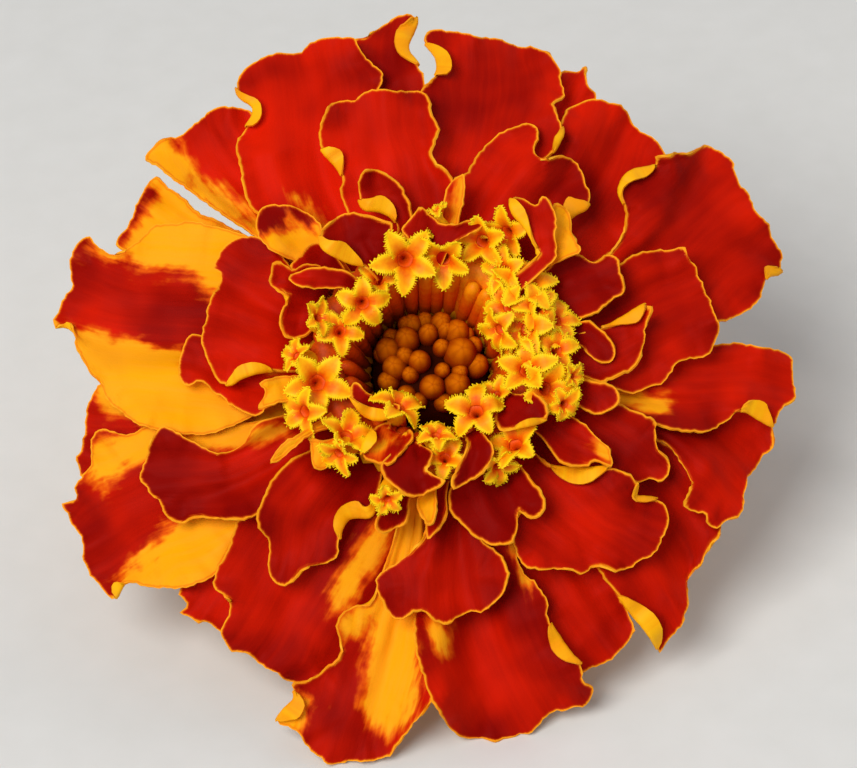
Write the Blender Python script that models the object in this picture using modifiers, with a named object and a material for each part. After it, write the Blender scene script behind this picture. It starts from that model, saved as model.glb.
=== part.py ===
"""French marigold bloom with a short cut stalk, lying as it rests on a surface.

The bloom is modelled upright in millimetres, with its axis on Z and the top of the stalk at
z = 0. At the end every mesh is scaled to metres, leaned over and set down on z = 0.
"""
import bpy
import bmesh
import math
import numpy as np
from mathutils import Matrix

for item in list(bpy.data.objects):
    bpy.data.objects.remove(item, do_unlink=True)

# Driving dimensions, in mm and degrees.
GRADE = 1.0                 # size of the bloom: 1.0 is 53.4 mm across its outer petals
STALK_LENGTH = 6.0          # from the cut to the foot of the cup
STALK_RADIUS = 1.35         # at the cut
CUP_HEIGHT = 14.0           # foot to mouth of the involucre
CUP_RADIUS = 6.4            # outside, at the mouth
CUP_WALL = 0.75
BLADE = 0.6                 # petal thickness
CLEAR = 0.25                # air between two petals that cross over each other
LIFT = 2.2                  # most that a petal is raised over those below it
SIGHT = math.tan(math.radians(12.0))   # slope of the line the reaches are measured along
LEAN = 37.03                # axis from the vertical, towards -Y
ROLL = 2.96                 # sideways turn that sets both low petals down together

# Ray petals, lowest first. Each has three edges: the side with the larger bearing from base to
# tip, the tip, and the other side back to the base. A point is (bearing from +X in degrees,
# reach from the axis in mm).
OUTER = {
    "O4": (
        [(68, 14), (69, 20)],
        [(67, 24.8), (64.5, 25.6), (63.5, 26.4), (62.8, 25.6), (61.5, 25), (59, 24.3)],
        [(58.5, 20), (61, 14)],
    ),
    "O14": (
        [(234, 14), (234, 20), (233, 24)],
        [(232, 24.7), (230.9, 24.7), (229, 24.7), (227.6, 25.2), (226, 25.4), (224.7, 25.6)],
        [(224.8, 24.9), (223.4, 24.6), (221.7, 24.3), (220, 20), (222, 14)],
    ),
    "O16": (
        [(203, 14), (203, 20), (201, 24.5), (197.5, 26.8)],
        [(195.8, 26.8), (194.2, 26.9), (193.4, 26.3), (191, 26), (189, 25.8), (186.9, 25.5),
         (184.8, 25.1), (183.2, 24.6)],
        [(182.3, 24), (181.5, 20), (184, 14)],
    ),
    "O18": (
        [(158, 14), (159, 20), (158, 24.5)],
        [(157.7, 25.3), (156.1, 25.4), (153.9, 25.2), (150.3, 25.3), (147.9, 25.4), (146.3, 25.6),
         (144.1, 25.4)],
        [(144.2, 24.5), (144.5, 22.6), (145.3, 20.6), (144, 18.9), (143, 14)],
    ),
    "O10": (
        [(310, 13), (310, 20), (308, 24)],
        [(307, 24.4), (305.4, 24.8), (303.2, 24.9), (301.8, 25.1), (300, 25.2), (298, 25),
         (295.5, 24.6)],
        [(292, 22), (291, 18), (293, 13)],
    ),
    "O2": (
        [(107, 15), (104, 20), (103, 24), (103, 26.2)],
        [(100.8, 26.2), (99.3, 26.6), (97.3, 27.2), (95.7, 27.6), (93.3, 27.7), (92, 27.3)],
        [(93.3, 25.8), (94, 24.8), (93.2, 24.2), (91.8, 23.3), (91, 22.1), (92, 19)],
    ),
    "O19": (
        [(142.5, 13), (142.5, 17), (142.4, 19), (142.6, 20.4), (142.5, 22.3), (142.5, 24),
         (142.4, 25.1), (142.5, 26.1), (142.6, 27)],
        [(139.7, 27), (138, 26.7), (135.5, 26), (134.2, 26), (132.4, 25.9), (131.3, 26), (129.3, 26),
         (127.8, 25.7), (126.1, 25.1), (124.7, 24.5), (124.1, 23.9)],
        [(125, 22), (128, 17), (131, 13)],
    ),
    "O5": (
        [(62, 14), (61.5, 18), (62.7, 21.5), (62.8, 22.4)],
        [(61, 23.5), (60, 24), (58.8, 24.3), (57, 24.6), (54.8, 24.9), (53.3, 24.8), (51.5, 24.5),
         (49.2, 24.3), (47.6, 24.4), (45, 24.4)],
        [(41, 23.5), (36, 20), (33, 15)],
    ),
    "O9": (
        [(342, 13), (342, 18), (338, 22), (331, 24.2)],
        [(328, 24.1), (326, 24.3), (324, 24.5), (322, 24.3), (320.3, 24.5), (317.8, 25.4),
         (315.8, 25.9), (314, 26.4), (312, 26.4), (310.4, 26.6), (308.5, 26.9)],
        [(308.8, 26.2), (309.1, 25.1), (309, 24), (309.2, 22.6), (309.4, 21), (310.4, 19.4),
         (311.3, 18.2), (313, 14)],
    ),
    "O8": (
        [(356, 13), (353, 18), (352, 22), (350.5, 25.2)],
        [(348.4, 25.8), (347, 25.9), (345.2, 25.3), (343.2, 25.2), (341, 24.6), (339.1, 24.7),
         (337.3, 24.9), (335.5, 25.1), (334, 24.8), (332.4, 24.2), (330.6, 23.9)],
        [(330.5, 23.1), (332, 22.6), (331, 21.7), (331.4, 20.9), (333.6, 20.9), (336, 20.7),
         (338.6, 19.7), (340.2, 18.9), (341.8, 17.9), (343, 14)],
    ),
    "O7": (
        [(3, 13), (4.5, 18), (5.5, 22), (4.8, 23.7), (4, 25), (3.3, 26.1)],
        [(2.2, 26.9), (0.1, 26.9), (-1.5, 26.9), (-3.3, 27.1), (-4.5, 27.1), (-5.4, 26.5),
         (-6.7, 25.9), (-9.4, 25.6)],
        [(-8.6, 24.4), (-7.5, 22.8), (-10, 22), (-12.3, 21.1), (-13.2, 20.4), (-14.3, 19), (-14.6, 18),
         (-14.5, 16), (-12, 13)],
    ),
    "O6": (
        [(38, 13), (36.5, 16), (35.6, 18), (38, 19), (41, 19.9), (44, 20.1), (45.8, 20.9),
         (44.8, 21.5), (42.8, 22.8), (44, 23.3)],
        [(42.2, 24.1), (42.3, 24.7), (41, 25.1), (40.2, 26), (39.9, 27.2), (38.4, 27.6), (37, 27.8),
         (35.2, 27.9), (33, 27.5), (31, 27.3), (29.8, 27.5), (28, 27.4), (26, 27.3), (24, 27.7),
         (22.5, 27.7), (20.8, 27.7), (18.9, 27.9), (17.2, 27.6), (15.8, 27.3)],
        [(16, 26.2), (15, 25.8), (13.4, 25.4), (12, 24.9), (11, 24), (10.4, 23), (9.8, 22), (12, 17)],
    ),
    "O3": (
        [(86, 13), (88, 18), (90.3, 21.5), (89, 22.4), (88.4, 23.2), (89.2, 24.4), (90.7, 25.4),
         (90.8, 26.1)],
        [(90, 26.5), (88, 26.6), (85.3, 26.3), (82.3, 26.1), (80, 26.2), (77.8, 26.2), (75.2, 26.1),
         (73, 26.2), (71.2, 26.1), (69.8, 26)],
        [(68.2, 25.5), (66.8, 24.9), (65.8, 24), (64.4, 23.2), (65.6, 22.2), (64.3, 21.6), (62.8, 21),
         (61, 20.4), (60.8, 19.6), (60.9, 18.7), (64, 15)],
    ),
    "O1": (
        [(139, 13), (137.5, 16.2), (137, 18.3), (133, 20.4), (130.3, 22.2), (128.5, 22.8),
         (124.2, 23.4), (123.2, 24.2), (124.2, 25.4), (123, 26.8)],
        [(120.5, 27.3), (116.8, 27.3), (114, 27), (112, 26.6), (109.5, 27), (107, 26.9), (104.5, 26.5),
         (102.5, 26.2)],
        [(102, 25.2), (100.8, 24.2), (99.2, 23.4), (99, 22.6), (100.5, 21.5), (102, 19), (105, 15)],
    ),
    "O15": (
        [(221, 13), (221, 17), (223, 20), (224.3, 21.7), (223.4, 23), (222.2, 23.9), (221.1, 24.6),
         (219.3, 25.5), (217.4, 26.3), (215.5, 27.2), (216.2, 28.2), (216.6, 28.8)],
        [(215.8, 29), (214.6, 29.1), (213.1, 29.1), (211.4, 29.3), (209.9, 29.2), (208.5, 29),
         (207.7, 28.6), (206.1, 28.6), (204.8, 28.7), (203.4, 28.9), (202.4, 28.7), (201.1, 28.9),
         (200.3, 28.9)],
        [(200.5, 28), (200.2, 27.6), (198.9, 27.6), (197.8, 27), (196.2, 25.9), (194.6, 25.5),
         (192.5, 25.3), (190.7, 24.9), (190.4, 24.1), (191.5, 23.5), (192.4, 22.4), (191.8, 21),
         (194, 17), (198, 13)],
    ),
    "O13": (
        [(264, 13), (262, 17), (256, 21), (249.5, 24.5)],
        [(246.5, 25.2), (245, 25.2), (243.6, 25), (241, 25), (239.5, 24.9), (237.3, 24.8),
         (235.7, 25.2), (234.4, 25.1), (232.8, 24.8)],
        [(231.8, 24.4), (231.4, 23.6), (230.3, 22.5), (228.8, 22.1), (226.5, 22.4), (225.2, 22.1),
         (223.9, 21.2), (222.8, 19.9), (220.4, 18.3), (219.5, 17.6), (222, 13)],
    ),
    "O12": (
        [(270, 13), (270, 18), (270, 22), (270.3, 24.1)],
        [(269.4, 24.6), (268, 25.5), (266.6, 26.5), (265, 27.6), (264.5, 28.4), (262.8, 28.8),
         (260.6, 29.2), (258.5, 29.4), (257.4, 29.8), (255.8, 29.9), (254.5, 29.6), (252.2, 29),
         (250.8, 28.4), (249, 28.2), (246.9, 28.3)],
        [(247.4, 27), (248.2, 25.9), (246.8, 25.2), (248.5, 24.6), (250, 24), (251.6, 23),
         (252.8, 22.4), (253.1, 21.6), (252.4, 21), (250.4, 20), (250.6, 19.2), (252.9, 18.3),
         (256.5, 17.8), (257.5, 15.5), (259, 12)],
    ),
    "O11": (
        [(296, 13), (294, 15.6), (294.5, 17), (295.7, 17.3), (296, 18.1), (296.4, 19), (295.2, 19.8),
         (294.9, 20.9), (295.3, 22.2), (296, 23.4), (296.6, 24.4), (295.7, 25.3), (296.7, 26.2)],
        [(296.1, 26.7), (295.2, 27.1), (294.2, 27.3), (292.5, 27.1), (291, 27), (289.6, 26.8),
         (288, 27.1), (285.4, 27.8), (282.7, 28.1), (280, 27.9), (277, 27.6), (274.8, 27.2)],
        [(273.1, 26.4), (271.8, 25.1), (270.4, 24.1), (269, 22.6), (267.5, 20.8), (266.6, 18.5),
         (268, 14)],
    ),
    "O17": (
        [(196, 13), (197, 17), (192, 21), (186, 23.5), (182.5, 24.1)],
        [(180.7, 24.9), (179.4, 25.2), (177.6, 25.8), (176.4, 26.2), (174.6, 26.4), (172.8, 26.7),
         (172.3, 27.1), (172.6, 27.6), (173.2, 28.1), (172, 28.3), (170.6, 28.1), (169.1, 28.1),
         (168, 27.8), (166.5, 27.5), (164.8, 27.9), (163, 28.1), (161.2, 28.1), (159.2, 28),
         (158, 27.4)],
        [(158.8, 26.8), (159.4, 25.7), (158.9, 24.5), (155.6, 23.8), (151.8, 23.2), (149.8, 22.1),
         (147.6, 20.8), (146.6, 19.8), (145.1, 18.1), (144, 15)],
    ),
}
MIDDLE = {
    "M5": (
        [(196, 9.5), (195.5, 12), (197.3, 12.5), (197.8, 13), (196.8, 13.6), (194.5, 14.2),
         (192.2, 14.8), (189.9, 15.1), (187.8, 15.9), (185.8, 16.2), (184.6, 16.5), (184.8, 17),
         (185.6, 17.6)],
        [(184.6, 18), (182.8, 18.2), (180.5, 18.2), (178.2, 18.1), (176, 17.9), (174.8, 17.9),
         (173.3, 17.6), (172.8, 17.1)],
        [(173.5, 16), (176, 12), (178, 9.5)],
    ),
    "M4": (
        [(184, 9.5), (184, 11.5), (184.8, 13.4), (186.6, 14.3), (186.6, 14.8), (184.5, 15.4),
         (181, 15.8)],
        [(180, 16), (177.5, 16.3), (174.8, 16.6), (171.7, 16.6), (168.9, 16.6), (165.8, 16.7),
         (163.5, 16.6), (160.6, 16.5), (157.6, 16.5), (156.2, 16.8), (155.5, 17.4), (153.3, 17.4),
         (150.9, 17.5), (149.1, 17.3), (147, 17)],
        [(145.2, 16.5), (143.5, 15.8), (143, 14), (146, 12), (152, 9.5)],
    ),
    "M19": (
        [(142, 11), (144.3, 13.2), (144.5, 14.2), (143.2, 15.6), (140.5, 16.4)],
        [(137.5, 16.9), (134.9, 16.7), (132.2, 16), (130, 15.2)],
        [(128.5, 14.2), (128, 13), (130, 11)],
    ),
    "M1": (
        [(118, 11), (117.6, 13.8), (117, 14.4), (115, 15), (114.6, 15.6), (115, 16.2), (115.3, 16.9),
         (116.2, 17.6), (115.9, 18.6), (115, 19.3), (113.1, 20)],
        [(111, 20.9), (109.4, 21.1), (107, 20.9), (105.3, 20.7), (104, 21.1), (101.7, 21.2),
         (98.3, 20.9), (95.5, 20.8), (93, 20.8), (91, 20.5)],
        [(90, 19.7), (89.7, 18.8), (88.4, 18), (88.1, 17.3), (89.4, 16.2), (90, 15.6), (88.5, 14.9),
         (85.2, 14.3), (83, 13.4), (84, 11)],
    ),
    "M3": (
        [(80, 11), (80.2, 13.9), (78.7, 14.5), (78.5, 15.1), (77.3, 15.9), (75.2, 17.4), (73.4, 18.2),
         (71, 18.8), (69.3, 19.4)],
        [(67.7, 19.6), (66, 19.5), (65, 18.8), (64.4, 17.8), (63.4, 17.4), (61.5, 17.5), (59.5, 18),
         (59.1, 18.75), (57.6, 19.2), (55.8, 19.5), (53.4, 19.3), (51.5, 19), (49.3, 18.3),
         (47.7, 18.2), (46, 17.5)],
        [(45.2, 16.8), (46.2, 15.6), (46, 14.8), (43.5, 14), (42, 12)],
    ),
    "M12": (
        [(24, 11), (27.9, 15.5), (28.2, 17.3), (27, 18.8), (25.6, 19.6), (25.2, 20.6)],
        [(23.5, 20.5), (21.8, 20.6), (20.5, 20.8), (18.4, 20.7), (16.4, 20.9), (13.5, 21),
         (12.6, 21.2), (12, 21), (10, 21.1), (8.1, 21.3), (6.5, 21.3)],
        [(5, 21), (2.8, 20.6), (1.3, 20.1), (1.1, 19.1), (0.5, 18.2), (-1.3, 17.7), (-3, 17.4),
         (-5.1, 16.9), (-6.5, 16), (-9, 14.6), (-6, 11)],
    ),
    "M11": (
        [(348, 11), (347.2, 13.7), (346.1, 14.9), (345.9, 15.8), (344.8, 16.8), (342.6, 17),
         (340.1, 17.4), (338.3, 17.8)],
        [(337.7, 18.5), (336.5, 18.9), (335, 19), (333.5, 19), (332, 18.6), (331.6, 18), (330, 17.6)],
        [(329, 16.8), (329, 14), (332, 11)],
    ),
    "M10": (
        [(319, 10), (318.1, 11.5), (322, 12.8), (324.7, 13.8), (328.4, 14.9), (329.5, 16), (329.7, 17),
         (328.3, 17.5), (326, 17.65), (326.5, 18.1), (328, 18.75), (328.5, 19.4)],
        [(328.3, 20), (327, 20.5), (324.6, 20.9), (322.9, 21), (321.1, 21.3), (318.2, 21.3),
         (316.7, 21), (313.6, 20.9), (311.2, 20.2), (309.5, 19.2), (308, 19), (305.1, 18.9),
         (303.3, 18.1)],
        [(300.2, 17.5), (298, 16.8), (295.8, 15.8), (300, 13), (305, 10)],
    ),
    "M8": (
        [(286, 11), (286, 13.6), (288.6, 14.4), (289.8, 15.4), (289.9, 16.4), (288.6, 17.1)],
        [(286.5, 17.8), (284, 18.2), (281.3, 18.6), (279, 18.5), (276, 18.7), (273.7, 19),
         (271.5, 18.9), (269.8, 18.4), (268.5, 18), (266.5, 18.1), (264.4, 18.7), (262.3, 18.8)],
        [(260.8, 18.4), (259.3, 17.9), (257.8, 17.3), (256.5, 16.5), (256.8, 15.8), (257.5, 14),
         (262, 11)],
    ),
    "M6": (
        [(222, 10), (222.5, 14), (222.1, 16.6), (220.8, 17.6), (219, 18.3), (217, 19), (214.5, 20),
         (213.5, 20.6)],
        [(213.7, 21.3), (212.8, 21.7), (211.5, 22), (209.7, 22.1), (207.8, 22), (206.2, 22.4),
         (204.3, 22.4), (202.5, 22.6), (200.8, 22.4), (198.9, 21.7), (196.8, 21.1), (194.8, 20.5)],
        [(193.6, 20), (194.5, 19.4), (196.5, 18.7), (198.5, 18.1), (200.5, 17.6), (202.8, 17),
         (204.2, 16), (204.3, 14.8), (202.8, 14.2), (200.5, 13.2), (202, 10)],
    ),
    "M7": (
        [(246, 8.4), (248.4, 9.9), (249.6, 12), (246, 12.4), (242.8, 12.9), (242.4, 13.6),
         (243.3, 14.4), (244.6, 15.2), (244.7, 15.8), (243.3, 16.4)],
        [(241.4, 16.9), (239.2, 17.4), (238.6, 18.2), (237.9, 19.1), (236.3, 19.5), (234.6, 19.5),
         (233.1, 19.2)],
        [(231.7, 18.7), (230.5, 18.1), (228.9, 17.5), (226.5, 17.3), (224, 17), (221.7, 16.3),
         (220, 15.3), (218, 14), (217.2, 12.4), (219, 10)],
    ),
}
INNER = {
    "M18": (
        [(147, 9.5), (145.5, 11.8)],
        [(145, 12.4), (139.4, 12.3), (133.9, 12.25), (131.8, 11.8)],
        [(131.5, 11), (132, 9.5)],
    ),
    "M17": (
        [(167, 8.9), (170, 9.6), (170.5, 10.3), (167.5, 10.9)],
        [(163.5, 11.2), (159.4, 11.3), (157, 11.1), (154.5, 11.3), (153.7, 12), (153.4, 12.9),
         (150, 13.2)],
        [(147.3, 13.4), (145.8, 12.9), (146, 12), (142, 11.5), (138.5, 10.5), (136, 9.5)],
    ),
    "M2": (
        [(103.5, 10.2), (106, 11.2), (110, 11.8), (113.5, 12.2), (113.2, 13), (112.3, 13.6),
         (110.8, 14.5)],
        [(109, 15), (107.1, 15), (104.6, 14.8), (102.4, 14.2)],
        [(100.5, 13.7), (99.1, 13.1), (98.3, 12.5), (97.5, 11.8), (97, 10.4)],
    ),
    "M20": (
        [(62, 10), (61.5, 13.9)],
        [(59.9, 14.4), (58, 14.3), (57.4, 14.9), (56.5, 15.25), (54.9, 15.2), (52.7, 14.9)],
        [(48.7, 14.2), (45.2, 13.5), (41, 12), (42, 10)],
    ),
    "M15": (
        [(9, 10), (10.7, 12.6), (11.2, 13.4), (12.7, 14.3), (13.9, 15), (14.8, 15.7), (15.1, 16.4)],
        [(13.6, 16.4), (11.9, 16.1), (9.9, 15.8), (7.5, 15.7), (4.4, 15.4), (2.3, 15.2)],
        [(0, 14.9), (-2.1, 14.5), (-3.6, 14), (-5, 13.4), (-6.5, 12.8), (-7.6, 12.2), (-5, 10)],
    ),
    "M13": (
        [(37, 9), (38.3, 11.2), (39.5, 12), (39.1, 12.6), (37.3, 13.2), (35, 13.6), (32.1, 13.9),
         (31.4, 14.3), (32.1, 14.8)],
        [(32, 15.2), (30.8, 15.5), (29.4, 15.6), (26.5, 15.3), (23.5, 15.2), (21.4, 15.1)],
        [(20, 14.8), (19.2, 14), (17.9, 13.2), (16.3, 12.5), (15.6, 11.5), (18, 9)],
    ),
    "M14": (
        [(15, 9.5), (14.2, 11.6), (11.7, 12.3), (10.2, 12.6), (8.2, 12.9)],
        [(6.4, 13.2), (3.9, 13.3), (1.4, 13.2), (0, 12.9)],
        [(-0.2, 12.3), (0.6, 11.8), (2.6, 11.3), (5.6, 10.8), (8, 9.5)],
    ),
    "M16": (
        [(352, 9.5), (352.2, 12.2), (352, 13.2), (350.1, 13.7)],
        [(348, 13.8), (346.3, 13.6), (344.7, 13.2), (343, 12.8)],
        [(341.8, 12.2), (342.2, 11.5), (343.2, 10.5), (345, 9.5)],
    ),
    "M21": (
        [(338, 10), (337, 12), (335, 13.3)],
        [(334.6, 13.8), (334.2, 14.2), (331.6, 14.8), (329.7, 15)],
        [(328.5, 13.8), (325, 13.5), (321.7, 12.4), (321.2, 11.6), (324, 10)],
    ),
    "M9": (
        [(309, 9.5), (309.2, 11.5), (309.2, 12.5), (308, 13.2), (305.7, 13.55)],
        [(303.7, 13.5), (302, 13.2), (301.3, 12.7), (300.3, 12.4), (298.7, 13.1), (296.9, 13.6),
         (295, 14), (292.8, 14.2), (290.6, 14.1), (288, 13.9)],
        [(286.1, 13.5), (283.8, 13), (281, 12.1), (278.3, 11.5), (277.4, 10.8), (279, 9.5)],
    ),
    "M23": (
        [(262, 10.2)],
        [(261.7, 11.7), (257.9, 12.4), (254.1, 12.8), (252, 12.3)],
        [(252.3, 10.2)],
    ),
    "M25": (
        [(277, 9.9)],
        [(276.6, 10.6), (274.4, 11.7), (271.1, 12.5), (269.1, 12.8)],
        [(268.5, 11), (269, 9.9)],
    ),
}

# Each layer: petals, level the reaches are measured at, root ring (radius, height), height of
# the blade by reach, and how many strips its grid has from root to tip.
LAYERS = (
    (OUTER, 16.0, (5.0, 14.9), ((5, 14.9), (7, 15.7), (10, 16.3), (15, 16.4), (20, 15.9),
                                (25, 14.7), (30, 12.8)), 8),
    (MIDDLE, 18.5, (6.8, 17.4), ((6, 17.2), (8.5, 18.2), (12, 18.7), (16, 18.6), (20, 18.0),
                                 (24, 17.2)), 7),
    (INNER, 18.5, (8.8, 19.5), ((8, 19.3), (9.5, 20.0), (12, 20.5), (16, 20.6)), 5),
)

# Tip height and twist, in mm, of the two petals that the bloom rests on.
SET = {"O11": (-2.0, 0.5), "O12": (1.1, -0.4)}

# Disc florets: bearing, reach and lobe radius of each open star round the centre.
FLORETS = (
    (104, 6.9, 2.5), (144, 5.8, 1.8), (166, 6.6, 1.8), (125, 6.2, 1.4), (82, 6.4, 1.8),
    (68, 8.5, 2.1), (48.5, 7.9, 1.6), (35, 8.3, 2.2), (14.6, 6.6, 1.7), (16, 9.2, 1.9),
    (0, 6.9, 1.6), (1.5, 9.2, 1.7), (343, 7.9, 1.8), (328, 7.9, 2.0), (312, 8.7, 1.9),
    (307, 5.4, 1.8), (279, 7.2, 1.6), (296, 7.5, 1.5), (326, 5.4, 1.2), (335, 9.9, 1.3),
    (196, 8.3, 2.1), (226, 8.35, 1.9), (240, 5.0, 1.6), (259, 6.2, 1.5), (209, 6.4, 1.5),
    (248, 8.2, 1.5), (206, 10.2, 1.4), (180, 9.2, 1.5), (157, 8.6, 1.4), (60, 6.2, 1.3),
    (90, 8.6, 1.5), (28, 6.0, 1.3), (266, 8.7, 1.3), (291, 9.6, 1.4), (352, 5.6, 1.2),
)
FLORET_LEVEL = 22.5

# Buds: bearing, reach and radius of each unopened floret in the centre.
BUDS = (
    (74.5, 2.6, 0.7), (41.6, 2.4, 0.75), (105, 1.15, 0.65), (159, 1.7, 0.6), (8, 1.8, 0.9),
    (348.6, 1.8, 1.0), (303, 2.6, 0.75), (228, 1.3, 0.55), (266, 2.5, 0.6), (170, 2.9, 0.7),
    (209, 2.5, 0.6), (130, 2.4, 0.6), (325, 2.9, 0.6), (285, 1.1, 0.5),
)


def polar(bearing, reach):
    """Plan position of a bearing in degrees and a reach in mm."""
    angle = math.radians(bearing)
    return np.array((reach * math.cos(angle), reach * math.sin(angle)))


def material(name, colour, roughness):
    """Principled material of one plain colour."""
    mat = bpy.data.materials.new(name)
    mat.use_nodes = True
    shader = mat.node_tree.nodes["Principled BSDF"]
    shader.inputs["Base Color"].default_value = (*colour, 1.0)
    shader.inputs["Roughness"].default_value = roughness
    return mat


def add_object(name, bm, collection, mat=None):
    """Object from a bmesh, in a collection."""
    mesh = bpy.data.meshes.new(name)
    bm.to_mesh(mesh)
    bm.free()
    obj = bpy.data.objects.new(name, mesh)
    collection.objects.link(obj)
    if mat:
        mesh.materials.append(mat)
    return obj


def turned(profile, steps, closed):
    """Solid of revolution about Z. An open profile starts and ends on the axis."""
    bm = bmesh.new()
    verts = [bm.verts.new((r, 0.0, z)) for r, z in profile]
    pairs = list(zip(verts, verts[1:]))
    if closed:
        pairs.append((verts[-1], verts[0]))
    for a, b in pairs:
        bm.edges.new((a, b))
    bmesh.ops.spin(bm, geom=bm.verts[:] + bm.edges[:], axis=(0, 0, 1), cent=(0, 0, 0),
                   angle=2 * math.pi, steps=steps, use_merge=True)
    bmesh.ops.remove_doubles(bm, verts=bm.verts[:], dist=1e-5)
    bmesh.ops.recalc_face_normals(bm, faces=bm.faces[:])
    return bm


def union(core, pieces, solver):
    """Fuse a collection's solids into the core, apply it, and keep the one body it makes."""
    mod = core.modifiers.new("fuse", "BOOLEAN")
    mod.operation = "UNION"
    mod.operand_type = "COLLECTION"
    mod.collection = pieces
    mod.solver = solver
    graph = bpy.context.evaluated_depsgraph_get()
    fused = bpy.data.meshes.new_from_object(core.evaluated_get(graph))
    core.modifiers.remove(mod)
    core.data = fused
    for piece in list(pieces.objects):
        bpy.data.objects.remove(piece, do_unlink=True)
    bpy.data.collections.remove(pieces)
    bm = bmesh.new()
    bm.from_mesh(fused)
    bmesh.ops.remove_doubles(bm, verts=bm.verts[:], dist=1e-5)
    bmesh.ops.dissolve_degenerate(bm, edges=bm.edges[:], dist=1e-5)
    bmesh.ops.triangulate(bm, faces=bm.faces[:])
    groups = []
    left = set(bm.verts)
    while left:
        stack = [left.pop()]
        group = list(stack)
        while stack:
            for edge in stack.pop().link_edges:
                for vert in edge.verts:
                    if vert in left:
                        left.discard(vert)
                        stack.append(vert)
                        group.append(vert)
        groups.append(group)
    groups.sort(key=len)
    bmesh.ops.delete(bm, geom=[v for g in groups[:-1] for v in g], context="VERTS")
    bm.to_mesh(fused)
    bm.free()


flower = bpy.data.collections.new("marigold_flower")
bpy.context.scene.collection.children.link(flower)

# Stalk: swollen towards the head, ribbed, cut square at the bottom. Its top swells again inside
# the cup as the receptacle.
ROOM = 0.3                  # gap to the neighbouring pieces
stalk_profile = (
    (0.0, -STALK_LENGTH), (STALK_RADIUS, -STALK_LENGTH), (1.5, -4.6), (1.9, -2.4), (2.5, -0.4),
    (2.05, -0.2), (2.05, 1.55), (3.7, 2.95), (4.55, 5.1), (4.85, 8.0), (4.9, 11.0), (0.0, 11.0),
)
bm = turned(stalk_profile, 24, False)
for vert in bm.verts:
    if vert.co.z < -0.3 and vert.co.xy.length > 0.5:
        angle = math.atan2(vert.co.y, vert.co.x)
        rib = 1.0 + 0.05 * math.cos(8 * angle)
        vert.co.x *= rib
        vert.co.y *= rib
add_object("peduncle", bm, flower, material("stalk green", (0.12, 0.20, 0.04), 0.6))

# Cup of fused bracts: a closed wall open at both ends, with a toothed rim and a shallow valley
# between neighbouring bracts.
BRACTS = 8
r = CUP_RADIUS
cup_profile = (
    (2.4, 0.0), (3.3, 0.3), (4.7, 2.1), (5.5, 4.5), (5.85, 8.0), (6.15, 12.0), (r, CUP_HEIGHT),
    (r - CUP_WALL, CUP_HEIGHT), (5.4, 11.0), (5.2, 8.0), (4.9, 4.9), (4.05, 2.75), (2.4, 1.25),
)
bm = turned(cup_profile, 4 * BRACTS, True)
for vert in bm.verts:
    angle = math.atan2(vert.co.y, vert.co.x)
    lobe = 0.5 + 0.5 * math.cos(BRACTS * angle)
    if vert.co.z > CUP_HEIGHT - 0.1:
        vert.co.z += 1.1 * (lobe - 0.5)
    if vert.co.xy.length > 5.45 and vert.co.z > 3.0:
        vert.co.x *= 0.985 + 0.015 * lobe
        vert.co.y *= 0.985 + 0.015 * lobe
add_object("involucre", bm, flower, material("cup green", (0.10, 0.19, 0.05), 0.55))

# Ray petals. Their claws stand in a funnel, which is the core that all blades are fused to.
funnel_profile = (
    (4.3, 11.35), (5.35, 11.35), (5.55, 15.0), (7.2, 17.6), (8.9, 19.2), (9.4, 19.8),
    (8.6, 20.1), (7.9, 19.4), (6.25, 17.8), (4.35, 15.2),
)
bm = turned(funnel_profile, 40, True)
rays = add_object("ray_florets", bm, flower, material("petal red", (0.47, 0.008, 0.0), 0.6))
blades = bpy.data.collections.new("ray_blades")
bpy.context.scene.collection.children.link(blades)

CELL = 0.5                  # cell of the grid that holds the top of what is laid so far
HALF = 80
laid = np.full((2 * HALF, 2 * HALF), -100.0)


def smooth_line(points, parts=8):
    """Catmull-Rom curve through points, with the given parts between neighbours."""
    pts = np.array(points)
    ends = np.vstack((2 * pts[0] - pts[1], pts, 2 * pts[-1] - pts[-2]))
    out = []
    for k in range(len(pts) - 1):
        a, b, c, d = ends[k:k + 4]
        for t in np.linspace(0, 1, parts, endpoint=False):
            out.append(0.5 * (2 * b + (c - a) * t + (2 * a - 5 * b + 4 * c - d) * t ** 2
                              + (3 * b - a - 3 * c + d) * t ** 3))
    out.append(pts[-1])
    return np.array(out)


def even(line, count):
    """Points spaced evenly by length along a polyline."""
    run = np.r_[0, np.cumsum(np.linalg.norm(np.diff(line, axis=0), axis=1))]
    at = np.linspace(0, run[-1], count)
    return np.stack([np.interp(at, run, line[:, k]) for k in (0, 1)], -1)


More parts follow.
